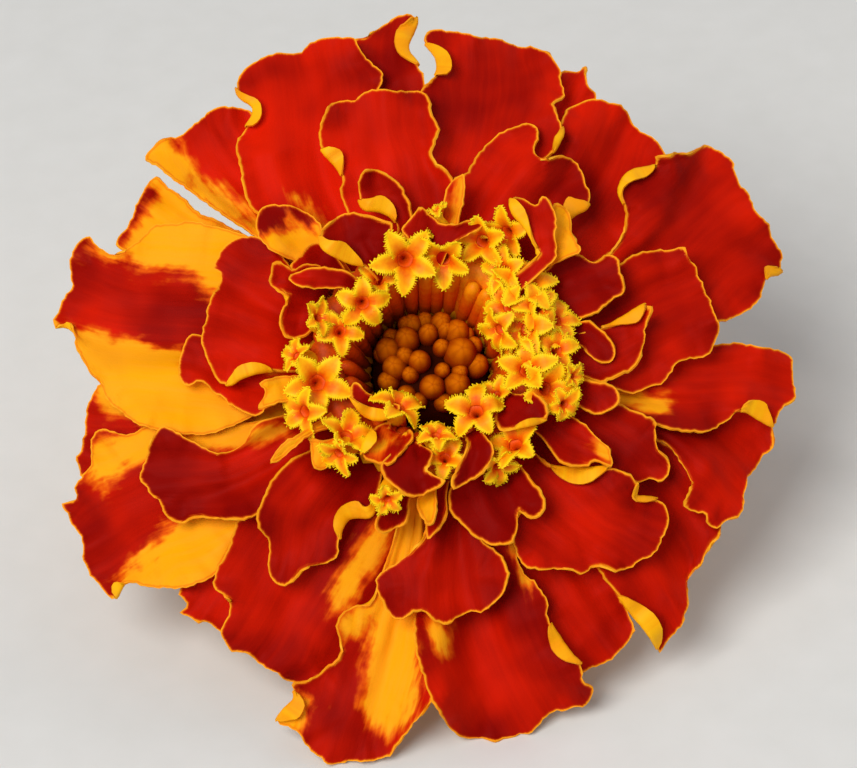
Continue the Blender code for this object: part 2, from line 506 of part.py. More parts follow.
def blade_plan(edges, root, across, along):
    """Grid of plan points that fills a petal's outline, with its first row at the root."""
    left, tip, right = [[polar(*p) for p in edge] for edge in edges]
    middle = (left[0] + right[-1]) / 2
    outward = middle / np.linalg.norm(middle)
    sideways = np.array((-outward[1], outward[0]))
    claw = 0.11 * root[0]
    start = outward * root[0] + sideways * claw
    stop = outward * root[0] - sideways * claw
    line = smooth_line([start] + left + tip + right + [stop])
    a = 8 * (len(left) + 1)
    b = a + 8 * (len(tip) - 1)
    left_side = even(line[:a + 1], along + 1)
    tip_side = even(line[a:b + 1], across + 1)
    right_side = even(line[b:], along + 1)[::-1]
    u = np.linspace(0, 1, across + 1)[:, None, None]
    v = np.linspace(0, 1, along + 1)[None, :, None]
    base = start + (stop - start) * u
    grid = ((1 - u) * left_side[None] + u * right_side[None]
            + (1 - v) * base + v * tip_side[:, None]
            - (1 - u) * (1 - v) * start - u * (1 - v) * stop
            - (1 - u) * v * tip_side[0] - u * v * tip_side[-1])
    for _ in range(30):
        inner = (grid[:-2, 1:-1] + grid[2:, 1:-1] + grid[1:-1, :-2] + grid[1:-1, 2:]) / 4
        grid[1:-1, 1:-1] = inner
    return grid


def refine(grid, parts):
    """The same grid with more points between its rows and columns."""
    for axis in (0, 1):
        count = (grid.shape[axis] - 1) * parts + 1
        at = np.linspace(0, grid.shape[axis] - 1, count)
        low = np.minimum(at.astype(int), grid.shape[axis] - 2)
        w = (at - low).reshape((-1, 1, 1) if axis == 0 else (1, -1, 1))
        grid = (np.take(grid, low, axis) * (1 - w) + np.take(grid, low + 1, axis) * w)
    return grid


def cells(points):
    """Indices into the height grid."""
    return tuple(np.clip((points[..., k] / CELL + HALF).astype(int), 1, 2 * HALF - 2)
                 for k in (0, 1))


FINE = 10
for petals, level, root, rise, along in LAYERS:
    reach_at = [p[0] for p in rise]
    rise_at = [p[1] for p in rise]
    for number, (name, edges) in enumerate(petals.items()):
        span = sum(np.linalg.norm(polar(*p) - polar(*q)) for p, q in zip(edges[1], edges[1][1:]))
        across = min(6, max(2, round(span / 2.3)))
        plan = blade_plan(edges, root, across, along)
        u = np.linspace(0, 1, across + 1)[:, None]
        v = np.linspace(0, 1, along + 1)[None, :]
        reach = np.linalg.norm(plan, axis=-1)
        width = np.clip(np.linalg.norm(plan[0] - plan[-1], axis=-1) / 9.0, 0, 1)[None, :]
        wave = 0.45 * width * v ** 2 * np.cos(2 * math.pi * (1.5 * u + 0.37 * number))
        hollow = 0.5 * width * np.sin(math.pi * v) * (2 * u - 1) ** 2
        droop, twist = SET.get(name, (0.0, 0.0))
        height = (np.interp(reach, reach_at, rise_at) + wave + hollow
                  + (droop + twist * (2 * u - 1)) * v ** 2)
        height[:, 0] = root[1] + 0.45 * (number % 3 - 1)
        free = height.copy()
        for _ in range(3):
            grid = np.dstack((plan, height))
            grid[..., 1] -= (height - level) * SIGHT * v
            dense = refine(grid, FINE)
            x, y = cells(dense)
            top = np.max([laid[x + i, y + j] for i in (-1, 0, 1) for j in (-1, 0, 1)], 0)
            out = np.linalg.norm(dense[..., :2], axis=-1)
            need = np.clip(top + BLADE + CLEAR - dense[..., 2], 0, LIFT)
            need *= np.clip((out - root[0] - 2.5) / 3.5, 0, 1)
            lift = np.zeros_like(height)
            for i in range(across + 1):
                for j in range(1, along + 1):
                    near = need[max(0, (i - 1) * FINE + 3):(i + 1) * FINE - 2,
                                max(0, (j - 1) * FINE + 3):(j + 1) * FINE - 2]
                    lift[i, j] = near.max()
            spread = lift.copy()
            for _ in range(4):
                wide = np.pad(spread, 1, mode="edge")
                mean = (wide[:-2, 1:-1] + wide[2:, 1:-1] + wide[1:-1, :-2] + wide[1:-1, 2:]) / 4
                spread = np.maximum(lift, mean)
            spread[:, 0] = 0
            height = np.minimum(height + spread, free + LIFT)
        grid = np.dstack((plan, height))
        grid[..., 1] -= (height - level) * SIGHT * v
        bm = bmesh.new()
        bmesh.ops.create_grid(bm, x_segments=across, y_segments=along, size=1.0)
        for vert in bm.verts:
            i = round((vert.co.x + 1) / 2 * across)
            j = round((vert.co.y + 1) / 2 * along)
            vert.co = grid[across - i, j]
        bmesh.ops.triangulate(bm, faces=bm.faces[:], quad_method="SHORT_EDGE")
        blade = add_object("blade_" + name, bm, blades)
        thick = blade.modifiers.new("blade", "SOLIDIFY")
        thick.thickness = BLADE
        thick.offset = 0.0
        dense = refine(grid, FINE)
        x, y = cells(dense)
        np.maximum.at(laid, (x, y), dense[..., 2])

union(rays, blades, "MANIFOLD")

# Disc florets: open five-lobed stars on short tubes, crowded on a ring with a deep hollow.
disc_profile = (
    (0.0, 11.4), (3.7, 11.4), (3.9, 15.1), (5.7, 17.8), (7.3, 19.4), (7.9, 20.3), (7.9, 20.9),
    (7.3, 21.2), (5.3, 20.9), (4.5, 20.0), (4.1, 16.5), (3.6, 14.6), (0.0, 14.4),
)
bm = turned(disc_profile, 32, False)
discs = add_object("disc_florets", bm, flower, material("disc yellow", (0.95, 0.42, 0.01), 0.6))
stars = bpy.data.collections.new("disc_stars")
bpy.context.scene.collection.children.link(stars)
LOBES = 5
for number, (bearing, reach, size) in enumerate(FLORETS):
    z = FLORET_LEVEL + 0.35 * math.sin(2.4 * number)
    x, y = polar(bearing, reach)
    y -= (z - FLORET_LEVEL) * SIGHT
    root_x, root_y = polar(bearing, 6.3 + 0.25 * (reach - 6.3))
    bm = bmesh.new()
    made = bmesh.ops.create_circle(bm, segments=2 * LOBES, radius=size, cap_ends=True)
    for k, vert in enumerate(made["verts"]):
        pull = 1.0 if k % 2 else 0.62
        vert.co = (vert.co.x * pull, vert.co.y * pull, 0.35 * size * (pull - 0.62) / 0.38)
    top = bm.faces[:]
    hole = bmesh.ops.poke(bm, faces=top)
    hole["verts"][0].co.z = -0.3 * size
    rim = [e for e in bm.edges if e.is_boundary]
    ring = bmesh.ops.extrude_edge_only(bm, edges=rim)["geom"]
    lower = [g for g in ring if isinstance(g, bmesh.types.BMVert)]
    rim = [g for g in ring if isinstance(g, bmesh.types.BMEdge)]
    for vert in lower:
        length = math.hypot(vert.co.x, vert.co.y)
        vert.co.x *= 0.45 * size / length
        vert.co.y *= 0.45 * size / length
    bmesh.ops.rotate(bm, verts=bm.verts[:], cent=(0, 0, 0),
                     matrix=Matrix.Rotation(0.7 * number, 3, "Z"))
    bmesh.ops.translate(bm, verts=bm.verts[:], vec=(x, y, z))
    for vert in lower:
        vert.co.x += root_x - x
        vert.co.y += root_y - y
        vert.co.z = 20.2
    bmesh.ops.contextual_create(bm, geom=rim)
    bmesh.ops.recalc_face_normals(bm, faces=bm.faces[:])
    bmesh.ops.triangulate(bm, faces=bm.faces[:])
    add_object("star_" + str(number), bm, stars)
union(discs, stars, "MANIFOLD")

# Buds on a low dome at the bottom of the hollow.
bud_profile = (
    (0.0, 14.8), (3.1, 14.95), (3.25, 15.5), (2.6, 16.3), (1.5, 16.9), (0.0, 17.1),
)
bm = turned(bud_profile, 20, False)
heads = add_object("disc_buds", bm, flower, material("bud brown", (0.35, 0.08, 0.01), 0.6))
knobs = bpy.data.collections.new("bud_knobs")
bpy.context.scene.collection.children.link(knobs)
for number, (bearing, reach, radius) in enumerate(BUDS):
    x, y = polar(bearing, reach)
    dome = 17.1 - 0.16 * reach ** 2
    z = dome + 0.6 * radius + 0.25 * math.sin(1.7 * number)
    y -= (z - FLORET_LEVEL) * SIGHT
    out = math.hypot(x, y)
    if out + radius > 3.5:
        x *= (3.5 - radius) / out
        y *= (3.5 - radius) / out
    bm = bmesh.new()
    bmesh.ops.create_icosphere(bm, subdivisions=1, radius=radius)
    bmesh.ops.scale(bm, verts=bm.verts[:], vec=(1, 1, 1.6))
    bmesh.ops.translate(bm, verts=bm.verts[:], vec=(x, y, z - 0.3 * radius))
    add_object("knob_" + str(number), bm, knobs)
union(heads, knobs, "MANIFOLD")

# Metres, leaned over and set down.
pose = (Matrix.Rotation(math.radians(LEAN), 4, "X") @ Matrix.Rotation(math.radians(ROLL), 4, "Y")
        @ Matrix.Scale(0.001 * GRADE, 4))
for obj in flower.objects:
    obj.data.transform(pose)
points = np.concatenate([np.array([v.co for v in o.data.vertices]) for o in flower.objects])
low = points.min(0)
high = points.max(0)
shift = Matrix.Translation((-(low[0] + high[0]) / 2, -(low[1] + high[1]) / 2, -low[2]))
for obj in flower.objects:
    obj.data.transform(shift)
    obj.data.shade_smooth()
    obj.data.set_sharp_from_angle(angle=math.radians(50))
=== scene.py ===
"""Looks of a picked French marigold bloom that lies on its lower petals and its cut stalk.

The bloom is worked out upright in millimetres, with its axis on Z and the top of its stalk at
z = 0. Each finished mesh is then laid down with POSE, so its object stays at the origin.
"""

import math
import random

import bmesh
import bpy
import numpy as np
from mathutils import Matrix, Vector


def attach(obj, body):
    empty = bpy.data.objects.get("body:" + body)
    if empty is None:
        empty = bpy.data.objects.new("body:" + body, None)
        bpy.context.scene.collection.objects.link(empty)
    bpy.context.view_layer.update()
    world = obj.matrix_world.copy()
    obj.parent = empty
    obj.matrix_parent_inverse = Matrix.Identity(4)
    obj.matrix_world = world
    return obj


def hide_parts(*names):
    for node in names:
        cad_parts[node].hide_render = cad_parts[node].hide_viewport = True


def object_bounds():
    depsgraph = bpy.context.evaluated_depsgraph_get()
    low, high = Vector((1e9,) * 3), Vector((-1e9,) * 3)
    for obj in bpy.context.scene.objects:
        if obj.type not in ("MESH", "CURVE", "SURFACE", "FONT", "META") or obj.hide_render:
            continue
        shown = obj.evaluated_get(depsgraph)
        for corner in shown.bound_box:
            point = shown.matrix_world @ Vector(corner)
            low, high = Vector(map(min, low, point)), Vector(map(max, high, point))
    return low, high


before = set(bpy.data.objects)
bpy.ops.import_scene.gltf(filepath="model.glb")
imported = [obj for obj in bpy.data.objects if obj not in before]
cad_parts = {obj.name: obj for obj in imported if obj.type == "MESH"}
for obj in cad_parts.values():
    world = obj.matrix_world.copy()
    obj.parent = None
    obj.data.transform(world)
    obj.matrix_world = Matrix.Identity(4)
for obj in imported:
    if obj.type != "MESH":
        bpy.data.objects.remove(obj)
cad_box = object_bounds()

# Stalk: the swollen, ribbed top of the flower stalk, cut straight across with a blade, with the
# receptacle that carries the florets inside the cup. Fresh green, paler and wet at the cut.
POSE = (Matrix.Translation((-0.0003405, 0.0090818, 0.0056372))
        @ Matrix.Rotation(math.radians(37.03), 4, "X")
        @ Matrix.Rotation(math.radians(2.96), 4, "Y")
        @ Matrix.Scale(0.001, 4))
GIVE = 0.0003               # height in which a petal bends flat against the table, in m
LOWEST = 0.00012            # least height of the upper skin of such a petal, in m


class Value:
    """A shader value. Arithmetic on it adds Math nodes."""

    def __init__(self, look, socket):
        self.look = look
        self.socket = socket

    def calc(self, operation, *values):
        return self.look.node("ShaderNodeMath", {"operation": operation}, dict(enumerate(values)))

    def __add__(self, other):
        return self.calc("ADD", self, other)

    def __radd__(self, other):
        return self.calc("ADD", other, self)

    def __sub__(self, other):
        return self.calc("SUBTRACT", self, other)

    def __rsub__(self, other):
        return self.calc("SUBTRACT", other, self)

    def __mul__(self, other):
        return self.calc("MULTIPLY", self, other)

    def __rmul__(self, other):
        return self.calc("MULTIPLY", other, self)

    def cosine(self):
        return self.calc("COSINE", self)

    def step(self, start, end):
        """0 below start, 1 above end, and smooth between."""
        return self.look.node("ShaderNodeMapRange", {"interpolation_type": "SMOOTHSTEP"},
                              {0: self, 1: start, 2: end, 3: 0.0, 4: 1.0})


class Look:
    """One material: its node tree and the few ways that nodes are added to it."""

    def __init__(self, name, roughness, **fixed):
        self.mat = bpy.data.materials.new(name)
        self.mat.use_nodes = True
        self.tree = self.mat.node_tree
        self.shader = self.tree.nodes["Principled BSDF"]
        self.shader.inputs["Roughness"].default_value = roughness
        for key, value in fixed.items():
            self.shader.inputs[key.replace("_", " ")].default_value = value

    def feed(self, socket, value):
        if isinstance(value, Value):
            self.tree.links.new(value.socket, socket)
        else:
            socket.default_value = value

    def node(self, kind, settings, sockets, out=0):
        """A node of one kind: its settings first, then the values or links of its sockets."""
        item = self.tree.nodes.new(kind)
        for key, value in settings.items():
            setattr(item, key, value)
        for socket, value in sockets.items():
            self.feed(item.inputs[socket], value)
        return Value(self, item.outputs[out])

    def held(self, name):
        """A number stored on the mesh."""
        return self.node("ShaderNodeAttribute", {"attribute_name": name}, {}, "Fac")

    def place(self, x, y, z):
        return self.node("ShaderNodeCombineXYZ", {}, {0: x, 1: y, 2: z})

    def noise(self, where, scale, detail):
        return self.node("ShaderNodeTexNoise", {},
                         {"Vector": where, "Scale": scale, "Detail": detail})

    def grain(self, scale, detail):
        """Noise in the space of the object."""
        return self.noise(self.node("ShaderNodeTexCoord", {}, {}, "Object"), scale, detail)

    def mix(self, share, a, b):
        """Colour a where share is 0 and b where it is 1."""
        return self.node("ShaderNodeMix", {"data_type": "RGBA"}, {0: share, 6: a, 7: b}, 2)

    def bump(self, height, strength, distance):
        made = self.node("ShaderNodeBump", {},
                         {"Strength": strength, "Distance": distance, "Height": height})
        self.feed(self.shader.inputs["Normal"], made)

    def colour(self, value):
        self.feed(self.shader.inputs["Base Color"], value)


def rgb(red, green, blue):
    """Linear colour from screen values of 0 to 255."""
    return (*((c / 255.0 / 12.92) if c < 10.4 else ((c / 255.0 + 0.055) / 1.055) ** 2.4
              for c in (red, green, blue)), 1.0)


def stored(bm, *names):
    """One layer of numbers on the vertices for each name."""
    return [bm.verts.layers.float.new(name) for name in names]


def finish(name, bm, looks, slot):
    """Object laid down with the pose, riding on the body and standing for its CAD node."""
    mesh = bpy.data.meshes.new(name)
    bm.to_mesh(mesh)
    bm.free()
    mesh.transform(POSE)
    for vert in mesh.vertices:
        if slot == "ray_florets" and vert.co.z < GIVE:
            vert.co.z = LOWEST + (GIVE - LOWEST) * math.exp(vert.co.z / GIVE - 1.0)
    mesh.shade_smooth()
    for look in looks:
        mesh.materials.append(look.mat)
    obj = bpy.data.objects.new(name, mesh)
    bpy.context.scene.collection.objects.link(obj)
    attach(obj, "root")
    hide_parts(slot)
    return obj


def turned(profile, steps, closed):
    """Surface of revolution about Z from a profile of (radius, height), closed or open."""
    bm = bmesh.new()
    verts = [bm.verts.new((r, 0.0, z)) for r, z in profile]
    for a, b in zip(verts, verts[1:] + verts[:1] if closed else verts[1:]):
        bm.edges.new((a, b))
    bmesh.ops.spin(bm, geom=bm.verts[:] + bm.edges[:], axis=(0, 0, 1), cent=(0, 0, 0),
                   angle=2 * math.pi, steps=steps, use_merge=True)
    bmesh.ops.remove_doubles(bm, verts=bm.verts[:], dist=1e-5)
    bmesh.ops.recalc_face_normals(bm, faces=bm.faces[:])
    return bm


def curve_through(points, parts):
    """Catmull-Rom curve through points, with the given parts between neighbours."""
    pts = np.array(points, dtype=float)
    ends = np.vstack((2 * pts[0] - pts[1], pts, 2 * pts[-1] - pts[-2]))
    out = []
    for k in range(len(pts) - 1):
        a, b, c, d = ends[k:k + 4]
        for t in np.linspace(0, 1, parts, endpoint=False):
            out.append(0.5 * (2 * b + (c - a) * t + (2 * a - 5 * b + 4 * c - d) * t ** 2
                              + (3 * b - a - 3 * c + d) * t ** 3))
    out.append(pts[-1])
    return np.array(out)


RIBS = 8
CUT = -6.0                  # height of the cut end
stalk_green = Look("stalk green", 0.5, Specular_IOR_Level=0.4)
turn = stalk_green.held("turn")
rise = stalk_green.held("rise")
streak = stalk_green.noise(stalk_green.place(turn * 6.0, rise * 0.25, 0.0), 3.0, 4.0)
green = stalk_green.mix(streak.step(0.3, 0.7), rgb(92, 118, 52), rgb(132, 152, 74))
rib_line = (turn * (2.0 * RIBS)).cosine()
green = stalk_green.mix(rib_line.step(0.4, 1.0) * 0.35, green, rgb(160, 172, 100))
cut_face = stalk_green.held("cut")
pith = stalk_green.grain(4000.0, 3.0)
green = stalk_green.mix(cut_face, green, stalk_green.mix(pith, rgb(188, 200, 140),
                                                         rgb(150, 168, 96)))
stalk_green.colour(green)
stalk_green.bump(streak, 0.3, 0.0001)

outside = curve_through([(1.3, -5.95), (1.36, -5.6), (1.5, -4.6), (1.9, -2.4), (2.45, -0.5)], 6)
profile = ([(0.0, CUT), (0.6, CUT), (1.22, CUT)] + [tuple(p) for p in outside]
           + [(2.1, -0.2), (2.05, 1.55), (3.7, 2.95), (4.55, 5.1), (4.85, 8.0), (4.9, 11.0),
              (0.0, 11.0)])
bm = turned(profile, 96, False)
turns, rises, cuts = stored(bm, "turn", "rise", "cut")
for vert in bm.verts:
    angle = math.atan2(vert.co.y, vert.co.x)
    vert[turns] = abs(angle)
    vert[rises] = vert.co.z
    vert[cuts] = 1.0 if vert.co.z < CUT + 0.02 else 0.0
    if vert.co.z < -0.3 and vert.co.xy.length > 0.5:
        swell = 1.0 + 0.05 * math.cos(RIBS * angle) + 0.01 * math.sin(3 * angle + vert.co.z)
        vert.co.x *= swell
        vert.co.y *= swell
finish("stalk", bm, [stalk_green], "peduncle")

# Cup: eight leafy bracts fused by their edges, smooth and mid green, with rows of long dark oil
# glands and a rim of small teeth with thin pale edges.
BRACTS = 8
NOTCH = 13.0                # height at which the cup parts into its teeth
cup_green = Look("cup green", 0.42, Specular_IOR_Level=0.5)
turn = cup_green.held("turn")
rise = cup_green.held("rise")
grain = cup_green.noise(cup_green.place(turn * 8.0, rise * 0.5, 1.0), 2.0, 4.0)
green = cup_green.mix(grain.step(0.3, 0.7), rgb(84, 112, 46), rgb(112, 138, 62))
seam = (turn * BRACTS).cosine().step(-1.0, -0.93)
green = cup_green.mix((1.0 - seam) * 0.7, green, rgb(140, 156, 84))
foot = rise.step(5.0, 0.0)
green = cup_green.mix(foot * 0.4, green, rgb(150, 160, 90))
gland = cup_green.held("gland")
green = cup_green.mix(gland.step(0.35, 0.75) * 0.8, green, rgb(72, 60, 20))
lip = rise.step(13.3, 14.3)
green = cup_green.mix(lip * 0.5, green, rgb(170, 170, 96))
cup_green.colour(green)
cup_green.bump(grain + gland * 1.5, 0.35, 0.00012)

outer_wall = curve_through([(3.3, 0.3), (4.7, 2.1), (5.5, 4.5), (5.85, 8.0), (6.15, 12.0),
                            (6.38, 13.9)], 7)
profile = ([(2.4, 0.0)] + [tuple(p) for p in outer_wall]
           + [(6.3, 14.0), (6.1, 14.0), (5.9, 13.6), (5.4, 11.0), (5.2, 8.0), (4.9, 4.9),
              (4.05, 2.75), (2.4, 1.25)])
bm = turned(profile, 192, True)
turns, rises, glands = stored(bm, "turn", "rise", "gland")
for vert in bm.verts:
    angle = math.atan2(vert.co.y, vert.co.x)
    lobe = 0.5 + 0.5 * math.cos(BRACTS * angle)
    vert[turns] = abs(angle)
    vert[rises] = vert.co.z
    outer_side = vert.co.xy.length > 5.45 or vert.co.z < 4.6
    across = (angle * BRACTS / (2 * math.pi) + 0.5) % 1.0
    row = min(abs(across - 0.3), abs(across - 0.7))
    beat = math.sin(vert.co.z * 1.7 + (2.0 if across < 0.5 else 0.0) + 2.0 * round(angle * 1.27))
    if outer_side and 4.0 < vert.co.z < NOTCH:
        vert[glands] = max(0.0, 1.0 - row / 0.07) * max(0.0, beat)
    if vert.co.z > NOTCH:
        vert.co.z += (vert.co.z - NOTCH) * 1.1 * (lobe ** 0.8 - 0.5)
    if outer_side and vert.co.z > 1.0:
        ridge = 0.012 * lobe + 0.006 * math.cos(3 * BRACTS * angle)
        vert.co.x *= 0.988 + ridge
        vert.co.y *= 0.988 + ridge
finish("cup", bm, [cup_green], "involucre")

# Ray petals: thin velvety blades, red above with a fine gold margin and gold beneath, each on a
# narrow claw that stands in the ring of floret tubes over the cup. Rows are listed from the
# lowest petal up. A row is the side with the larger bearing from base to tip, the tip, and the
# other side back; a point is (bearing in degrees, reach from the axis in mm).
OUTER = {
    "O4": (
        [(68, 14), (69, 20)],
        [(67, 24.8), (64.5, 25.6), (63.5, 26.4), (62.8, 25.6), (61.5, 25), (59, 24.3)],
        [(58.5, 20), (61, 14)]),
    "O14": (
        [(234, 14), (234, 20), (233, 24)],
        [(232, 24.7), (230.9, 24.7), (229, 24.7), (227.6, 25.2), (226, 25.4), (224.7, 25.6)],
        [(224.8, 24.9), (223.4, 24.6), (221.7, 24.3), (220, 20), (222, 14)]),
    "O16": (
        [(203, 14), (203, 20), (201, 24.5), (197.5, 26.8)],
        [(195.8, 26.8), (194.2, 26.9), (193.4, 26.3), (191, 26), (189, 25.8), (186.9, 25.5),
         (184.8, 25.1), (183.2, 24.6)],
        [(182.3, 24), (181.5, 20), (184, 14)]),
    "O18": (
        [(158, 14), (159, 20), (158, 24.5)],
        [(157.7, 25.3), (156.1, 25.4), (153.9, 25.2), (150.3, 25.3), (147.9, 25.4), (146.3, 25.6),
         (144.1, 25.4)],
        [(144.2, 24.5), (144.5, 22.6), (145.3, 20.6), (144, 18.9), (143, 14)]),
    "O10": (
        [(310, 13), (310, 20), (308, 24)],
        [(307, 24.4), (305.4, 24.8), (303.2, 24.9), (301.8, 25.1), (300, 25.2), (298, 25),
         (295.5, 24.6)],
        [(292, 22), (291, 18), (293, 13)]),
    "O2": (
        [(107, 15), (104, 20), (103, 24), (103, 26.2)],
        [(100.8, 26.2), (99.3, 26.6), (97.3, 27.2), (95.7, 27.6), (93.3, 27.7), (92, 27.3)],
        [(93.3, 25.8), (94, 24.8), (93.2, 24.2), (91.8, 23.3), (91, 22.1), (92, 19)]),
    "O19": (
        [(142.5, 13), (142.5, 17), (142.4, 19), (142.6, 20.4), (142.5, 22.3), (142.5, 24),
         (142.4, 25.1), (142.5, 26.1), (142.6, 27)],
        [(139.7, 27), (138, 26.7), (135.5, 26), (134.2, 26), (132.4, 25.9), (131.3, 26), (129.3, 26),
         (127.8, 25.7), (126.1, 25.1), (124.7, 24.5), (124.1, 23.9)],
        [(125, 22), (128, 17), (131, 13)]),
    "O5": (
        [(62, 14), (61.5, 18), (62.7, 21.5), (62.8, 22.4)],
        [(61, 23.5), (60, 24), (58.8, 24.3), (57, 24.6), (54.8, 24.9), (53.3, 24.8), (51.5, 24.5),
         (49.2, 24.3), (47.6, 24.4), (45, 24.4)],
        [(41, 23.5), (36, 20), (33, 15)]),
    "O9": (
        [(342, 13), (342, 18), (338, 22), (331, 24.2)],
        [(328, 24.1), (326, 24.3), (324, 24.5), (322, 24.3), (320.3, 24.5), (317.8, 25.4),
         (315.8, 25.9), (314, 26.4), (312, 26.4), (310.4, 26.6), (308.5, 26.9)],
        [(308.8, 26.2), (309.1, 25.1), (309, 24), (309.2, 22.6), (309.2, 21), (309.4, 19.4),
         (309.6, 18.2), (311, 14)]),
    "O8": (
        [(356, 13), (354, 18), (354, 22), (352.3, 25.1)],
        [(348.4, 25.8), (347, 25.9), (345.2, 25.3), (343.2, 25.2), (341, 24.6), (339.1, 24.7),
         (337.3, 24.9), (335.5, 25.1), (334, 24.8), (332.4, 24.2), (330.6, 23.9)],
        [(330.5, 23.1), (332, 22.6), (331, 21.7), (331.4, 20.9), (333.6, 20.9), (336, 20.7),
         (338.6, 19.7), (340.2, 18.9), (341.8, 17.9), (343, 14)]),
    "O7": (
        [(3, 13), (4.5, 18), (5.5, 22), (4.8, 23.7), (4, 25), (3.3, 26.1)],
        [(2.2, 26.9), (0.1, 26.9), (-1.5, 26.9), (-3.3, 27.1), (-4.5, 27.1), (-5.4, 26.5),
         (-6.7, 25.9), (-9.4, 25.6)],
        [(-8.6, 24.4), (-7.5, 22.8), (-10, 22), (-12.3, 21.1), (-13.2, 20.4), (-14.3, 19),
         (-14.6, 18), (-14.5, 16), (-12, 13)]),
    "O6": (
        [(31, 13), (32.4, 15.5), (33.3, 16.3), (35, 17.3), (36.6, 18), (40, 18.8), (43.4, 19.3),
         (44.8, 19.9), (45.4, 20.8), (44.6, 21.5), (42.8, 22.8), (44, 23.3)],
        [(42.2, 24.1), (42.3, 24.7), (41, 25.1), (40.2, 26), (39.9, 27.2), (38.4, 27.6), (37, 27.8),
         (35.2, 27.9), (33, 27.5), (31, 27.3), (29.8, 27.5), (28, 27.4), (26, 27.3), (24, 27.7),
         (22.5, 27.7), (20.8, 27.7), (18.9, 27.9), (17.2, 27.6), (15.8, 27.3)],
        [(16, 26.2), (15, 25.8), (13.4, 25.4), (12, 24.9), (11, 24), (10.4, 23), (9.8, 22),
         (12, 17)]),
    "O3": (
        [(89, 13), (93, 18), (92, 21.2), (89, 22.4), (88.4, 23.2), (89.2, 24.4), (90.7, 25.4),
         (90.8, 26.1)],
        [(90, 26.5), (88, 26.6), (85.3, 26.3), (82.3, 26.1), (80, 26.2), (77.8, 26.2), (75.2, 26.1),
         (73, 26.2), (71.2, 26.1), (69.8, 26)],
        [(68.2, 25.5), (66.8, 24.9), (65.8, 24), (64.4, 23.2), (65.6, 22.2), (64.3, 21.6), (62.8, 21),
         (61, 20.4), (60.8, 19.6), (60.9, 18.7), (64, 15)]),
    "O1": (
        [(139, 13), (137.5, 16.2), (137, 18.3), (133, 20.4), (130.3, 22.2), (128.5, 22.8),
         (124.2, 23.4), (123.2, 24.2), (124.2, 25.4), (123, 26.8)],
        [(120.5, 27.3), (116.8, 27.3), (114, 27), (112, 26.6), (109.5, 27), (107, 26.9),
         (104.5, 26.5), (102.5, 26.2)],
        [(102, 25.2), (100.8, 24.2), (99.2, 23.4), (99, 22.6), (100.5, 21.5), (102, 19), (105, 15)]),
    "O15": (
        [(221, 13), (221, 17), (223, 20), (224.3, 21.7), (223.4, 23), (222.2, 23.9), (221.1, 24.6),
         (219.3, 25.5), (217.4, 26.3), (215.5, 27.2), (216.2, 28.2), (216.6, 28.8)],
        [(215.8, 29), (214.6, 29.1), (213.1, 29.1), (211.4, 29.3), (209.9, 29.2), (208.5, 29),
         (207.7, 28.6), (206.1, 28.6), (204.8, 28.7), (203.4, 28.9), (202.4, 28.7), (201.1, 28.9),
         (200.3, 28.9)],
        [(200.5, 28), (200.2, 27.6), (198.9, 27.6), (197.8, 27), (196.2, 25.9), (194.6, 25.5),
         (192.5, 25.3), (190.7, 24.9), (190.4, 24.1), (191.5, 23.5), (192.4, 22.4), (191.8, 21),
         (194, 17), (198, 13)]),
    "O13": (
        [(264, 13), (262, 17), (256, 21), (249.5, 24.5)],
        [(246.5, 25.2), (245, 25.2), (243.6, 25), (241, 25), (239.5, 24.9), (237.3, 24.8),
         (235.7, 25.2), (234.4, 25.1), (232.8, 24.8)],
        [(231.8, 24.4), (231.4, 23.6), (230.3, 22.5), (228.8, 22.1), (226.5, 22.4), (225.2, 22.1),
         (223.9, 21.2), (222.8, 19.9), (220.4, 18.3), (219.5, 17.6), (222, 13)]),
    "O12": (
        [(270, 13), (270, 18), (270, 22), (270.3, 24.1)],
        [(269.4, 24.6), (268, 25.5), (266.6, 26.5), (265, 27.6), (264.5, 28.4), (262.8, 28.8),
         (260.6, 29.2), (258.5, 29.4), (257.4, 29.8), (255.8, 29.9), (254.5, 29.6), (252.2, 29),
         (250.8, 28.4), (249, 28.2), (246.9, 28.3)],
        [(247.4, 27), (248.2, 25.9), (246.8, 25.2), (248.5, 24.6), (250, 24), (251.6, 23),
         (252.8, 22.4), (253.1, 21.6), (252.4, 21), (250.4, 20), (250.6, 19.2), (252.9, 18.3),
         (256.5, 17.8), (257.5, 15.5), (259, 12)]),
    "O11": (
        [(296, 13), (294, 15.6), (294.5, 17), (295.7, 17.3), (296, 18.1), (296.4, 19), (295.2, 19.8),
         (294.9, 20.9), (295.3, 22.2), (296, 23.4), (296.6, 24.4), (295.7, 25.3), (296.7, 26.2)],
        [(296.1, 26.7), (295.2, 27.1), (294.2, 27.3), (292.5, 27.1), (291, 27), (289.6, 26.8),
         (288, 27.1), (285.4, 27.8), (282.7, 28.1), (280, 27.9), (277, 27.6), (274.8, 27.2)],
        [(273.1, 26.4), (271.8, 25.1), (270.4, 24.1), (269, 22.6), (267.5, 20.8), (266.6, 18.5),
         (268, 14)]),
    "O17": (
        [(196, 13), (197, 17), (192, 21), (186, 23.5), (182.5, 24.1)],
        [(180.7, 24.9), (179.4, 25.2), (177.6, 25.8), (176.4, 26.2), (174.6, 26.4), (172.8, 26.7),
         (172.3, 27.1), (172.6, 27.6), (173.2, 28.1), (172, 28.3), (170.6, 28.1), (169.1, 28.1),
         (168, 27.8), (166.5, 27.5), (164.8, 27.9), (163, 28.1), (161.2, 28.1), (159.2, 28),
         (158, 27.4)],
        [(158.8, 26.8), (159.4, 25.7), (158.9, 24.5), (155.6, 23.8), (151.8, 23.2), (149.8, 22.1),
         (147.6, 20.8), (146.6, 19.8), (145.1, 18.1), (144, 15)]),
}
